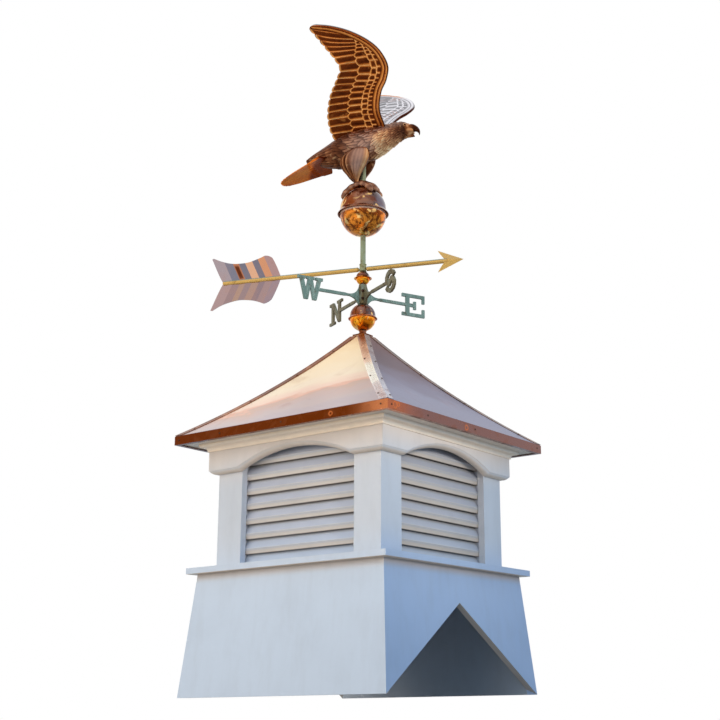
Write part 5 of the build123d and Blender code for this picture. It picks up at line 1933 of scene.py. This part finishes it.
        # Painted shade: the tail darkens towards its root, where it runs in under the rump.
        under = ease(0.05, -0.05, u - 0.36 - 0.22 * w)
        mark = 0.80 - 0.80 * height - 0.16 * covert + 0.4 * ease(0.92, 1.0, np.abs(w))
        sheet = shell(upper, lower, {"relief": np.clip(mark * (1 - 0.95 * under), 0, 1)})
        x, y, z = sheet.points.T
        cosine, sine = math.cos(self.tail_slope), math.sin(self.tail_slope)
        points = stacked(x * cosine - z * sine, y, x * sine + z * cosine)
        return Surface(points, sheet.faces, sheet.marks).moved(self.tail_root)

    def leg(self, side: float) -> Surface:
        """One leg: a feathered thigh with a fringe, a shank and four toes with claws.

        The thigh's rings are ellipses whose centre and half sizes follow curves through the
        stations. Locks of feathers, |sin| of the angle, swell and lengthen its rear.

        Args:
            side: 1 for the left leg and -1 for the right.

        Returns:
            The leg with its relief, painted light and shade laid into it, and where it is golden, as values.
        """
        rings = np.array([[-3.6, 2.8, 1.6, 1.6, 3.9], [-3.9, 5.2, 2.0, 2.0, 4.2], [-4.4, 10.6, 5.0, 3.5, 4.9],
            [-4.2, 16.7, 8.8, 4.9, 6.0], [-3.2, 22.6, 9.8, 5.0, 6.8], [-1.6, 26.8, 7.2, 3.6, 7.2],
            [-0.8, 28.4, 2.6, 1.3, 7.2]])
        rows, columns = 110, 84
        share = np.linspace(0, 1, rows)
        ring = curve_through(rings, share)
        angle = round_angles(columns)[None]
        forward, up, deep, wide, aside = (ring[:, index][:, None] for index in range(5))
        thigh = (ease(0.12, 0.40, share) * ease(1.0, 0.75, share))[:, None]
        locks = np.abs(np.sin(angle * 8 + 2.0 * share[:, None] + 0.4 * np.sin(9 * share[:, None])))
        rear = ease(0.25, -0.65, np.cos(angle) + 0.35 * (share[:, None] - 0.5))
        swell = 1 + thigh * (0.03 * locks - 0.02 + 0.13 * rear * locks)
        droop = -2.0 * thigh * rear * locks
        points = stacked(forward + deep * np.cos(angle) * swell, side * (aside + wide * np.sin(angle) * swell),
            up + droop)
        outer = ease(-0.3, 0.4, np.sin(angle)) + 0 * share[:, None]
        front = ease(0.55, 0.95, np.cos(angle)) * outer
        streak = 0.5 + 0.5 * np.sin(angle * 23 + 5 * share[:, None])
        # Painted light and shade: the front lighter, the rear darker, the locks' tips painted highlights, the inner
        # side dark.
        mark = np.clip(0.30 + 0.12 * streak - 0.30 * rear + 0.42 * locks ** 4 * thigh * rear + 0.28 * front, 0, 1)
        mark = mark * outer + 0.05 * (1 - outer)
        warm = np.clip(rear + front + ease(0.45, 0.15, share)[:, None] + (1 - outer), 0, 1) + 0 * angle
        skin = capped(points, {"relief": mark, "warm": warm})
        toes = [self.toe(side, heading, reach) for heading, reach in ((-9.6, 13.6), (8.4, 14.2), (26.4, 13.6),
            (180.0, 10.5))]
        return together(skin, *toes)

    def toe(self, side: float, heading: float, reach: float) -> Surface:
        """One toe: three knuckles that arch over the ball, then a claw that curves down to it.

        Args:
            side: 1 for the left foot and -1 for the right.
            heading: its direction in degrees from straight ahead, outwards.
            reach: how far it goes.

        Returns:
            The closed toe.
        """
        ball = self.ball_radius
        out = np.array([0.0, 0.28, 0.55, 0.8, 0.95, 1.0]) * reach
        direction = math.radians(heading)
        x = -3.0 + out * math.cos(direction)
        y = 4.1 + out * math.sin(direction)
        from_axis = np.minimum(np.hypot(x, y), ball * 0.99)
        surface = np.sqrt(ball ** 2 - from_axis ** 2) - ball
        clear = np.array([2.4, 2.5, 2.3, 2.1, 1.5, 0.5])
        line = stacked(x, side * y, surface + clear)
        share = np.linspace(0, 1, 48)
        path = curve_through(line, share)
        knuckle = 1 + 0.06 * np.cos(share * 2 * np.pi * 3.4)
        taper = np.where(share < 0.76, 1.0, np.clip((1 - share) / 0.24, 0.08, 1) ** 0.7)
        thick = 2.2 * knuckle * taper
        toe = swept(path, thick * 1.1, thick, 20)
        # The knuckles painted lighter as painted light, the whole toe darker by 0.72 as painted shade.
        lit = np.concatenate([[0.3], 0.30 + 0.25 * (knuckle - 0.94) / 0.12, [0.1]])
        toe.marks["relief"] = np.repeat(lit, 20) * 0.72
        toe.marks["warm"] = np.full(len(toe.points), 0.55)
        return toe

    @property
    def ball_radius(self) -> float:
        """Radius of the ball's dome, in hundredths of the eagle's length."""
        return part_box("perch_ball_bowl")[1].x / self.unit

    def place(self, surface: Surface) -> Surface:
        """The surface in metres, over the ball and turned to the vane's heading.

        Args:
            surface: in hundredths of the eagle's length.

        Returns:
            The placed surface.
        """
        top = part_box("perch_ball_dome")[1].z + 0.0004
        sized = Surface(surface.points * self.unit, surface.faces, surface.marks)
        return sized.moved((0, 0, top)).turned(VANE_HEADING)

    def build(self) -> None:
        """Makes and dresses the ball and the eagle."""
        finishes = self.finishes
        SpunBall("perch_ball", "perch_ball_bowl", "perch_ball_dome", Body.VANE).build(finishes.ball)
        body, left = together(self.trunk(), self.beak(), self.eyes()), self.wing()
        legs = together(self.leg(1.0), self.leg(-1.0))
        pieces = (("trunk", body, finishes.embossed, "eagle_body"), ("wing_left", left, finishes.wing, "wing_left"),
            ("wing_right", left.mirrored(), finishes.wing, "wing_right"),
            ("tail_fan", self.tail(), finishes.tail, "eagle_tail"), ("feet", legs, finishes.embossed, "eagle_legs"))
        for name, surface, material, node in pieces:
            add_piece("eagle_" + name, self.place(surface), Body.VANE, material, (node,), 60)


@dataclass
class Studio:
    """Floor, daylight, lamps and camera."""

    yaw: float = math.radians(34.997)
    pitch: float = math.radians(15.885)
    roll: float = math.radians(-0.663)
    stand: Triple = (2.1026, -2.6724, -0.0405)
    lens: float = 63.59
    shift: tuple[float, float] = (-0.0986, -0.0139)

    def floor(self) -> None:
        """A pale floor that is seen, and shades, from above only."""
        mesh = bpy.data.meshes.new("floor")
        size = 9.0
        corners = [(-size, -size, 0), (size, -size, 0), (size, size, 0), (-size, size, 0)]
        mesh.from_pydata(corners, [], [(0, 1, 2, 3)])
        material = bpy.data.materials.new("pale_floor")
        material.use_nodes = True
        material.node_tree.nodes.clear()
        sketch = Sketch(material.node_tree)
        bounced = sketch.add("ShaderNodeLightPath").outputs["Is Diffuse Ray"]
        shade = sketch.blend(bounced, (0.88, 0.88, 0.88), (0.45, 0.45, 0.46))
        pale = sketch.wired("ShaderNodeBsdfDiffuse", {"Color": shade})
        clear = sketch.add("ShaderNodeBsdfTransparent").outputs[0]
        behind = sketch.add("ShaderNodeNewGeometry").outputs["Backfacing"]
        sketch.feed(sketch.add("ShaderNodeOutputMaterial").inputs[0], sketch.either(behind, pale, clear))
        mesh.materials.append(material)
        floor = bpy.data.objects.new("floor", mesh)
        link(floor)

    def world(self) -> None:
        """Even daylight, with plain white where the camera or a reflection looks at it."""
        world = bpy.data.worlds.new("daylight")
        bpy.context.scene.world = world
        world.use_nodes = True
        world.node_tree.nodes.clear()
        sketch = Sketch(world.node_tree)
        path = sketch.add("ShaderNodeLightPath").outputs
        seen = sketch.calc("MAXIMUM", path["Is Camera Ray"], sketch.calc("MAXIMUM", path["Is Glossy Ray"],
            path["Is Transmission Ray"]))
        light = sketch.wired("ShaderNodeBackground", {"Color": (0.62, 0.81, 1.0), "Strength": 0.76})
        white = sketch.wired("ShaderNodeBackground", {"Color": (1.0, 1.0, 1.0), "Strength": 1.0})
        sketch.feed(sketch.add("ShaderNodeOutputWorld").inputs[0], sketch.either(seen, light, white))

    def lamp(self, name: str, place: Triple, size: float, power: float, colour: Colour,
            aim: Triple = (0.0, 0.0, 0.8), spread: float = 180.0) -> None:
        """A square soft lamp that shows in no reflection.

        Args:
            name: its name.
            place: where it stands.
            size: the length of its sides.
            power: its light in watts.
            colour: its colour.
            aim: the point that it faces.
            spread: the angle of its beam in degrees.
        """
        data = bpy.data.lights.new(name, "AREA")
        data.shape, data.size, data.energy, data.color = "SQUARE", size, power, colour
        data.spread = math.radians(spread)
        lamp = bpy.data.objects.new(name, data)
        lamp.visible_glossy = False
        lamp.location = place
        lamp.rotation_euler = (Vector(aim) - Vector(place)).to_track_quat("-Z", "Y").to_euler()
        link(lamp)

    def camera(self) -> None:
        """The camera where the photograph was taken from."""
        sin, cos = math.sin, math.cos
        ahead = Vector((-sin(self.yaw) * cos(self.pitch), cos(self.yaw) * cos(self.pitch), sin(self.pitch)))
        level = Vector((cos(self.yaw), sin(self.yaw), 0))
        over = level.cross(ahead)
        right = cos(self.roll) * level + sin(self.roll) * over
        up = -sin(self.roll) * level + cos(self.roll) * over
        data = bpy.data.cameras.new("camera")
        data.sensor_width, data.lens = 36.0, self.lens
        data.shift_x, data.shift_y = self.shift
        data.clip_start = 0.05
        camera = bpy.data.objects.new("camera", data)
        camera.matrix_world = Matrix(((right.x, up.x, -ahead.x, self.stand[0]),
            (right.y, up.y, -ahead.y, self.stand[1]), (right.z, up.z, -ahead.z, self.stand[2]), (0, 0, 0, 1)))
        link(camera)
        bpy.context.scene.camera = camera

    def build(self) -> None:
        """Sets up the studio."""
        bpy.context.scene.view_settings.view_transform = "Standard"
        self.floor()
        self.world()
        self.lamp("front_lamp", (-1.6, -3.6, 1.8), 2.4, 64.0, (1.0, 0.87, 0.68))
        self.lamp("side_lamp", (2.3, -0.9, 0.9), 0.5, 0.7, (1.0, 0.90, 0.76), (0.3, -0.1, 0.62), 26.0)
        self.lamp("low_lamp", (0.3, -2.8, 0.2), 1.8, 26.0, (1.0, 0.84, 0.66))
        self.camera()


def main() -> None:
    """Builds every sub-assembly in order."""
    logging.basicConfig(level=logging.INFO, format="%(name)s: %(message)s")
    finishes = Finishes()
    WhiteWork(finishes).build()
    CopperRoof(finishes).build()
    Compass(finishes).build()
    Arrow(finishes).build()
    Eagle(finishes).build()
    Studio().build()


if __name__ == "__main__":
    main()
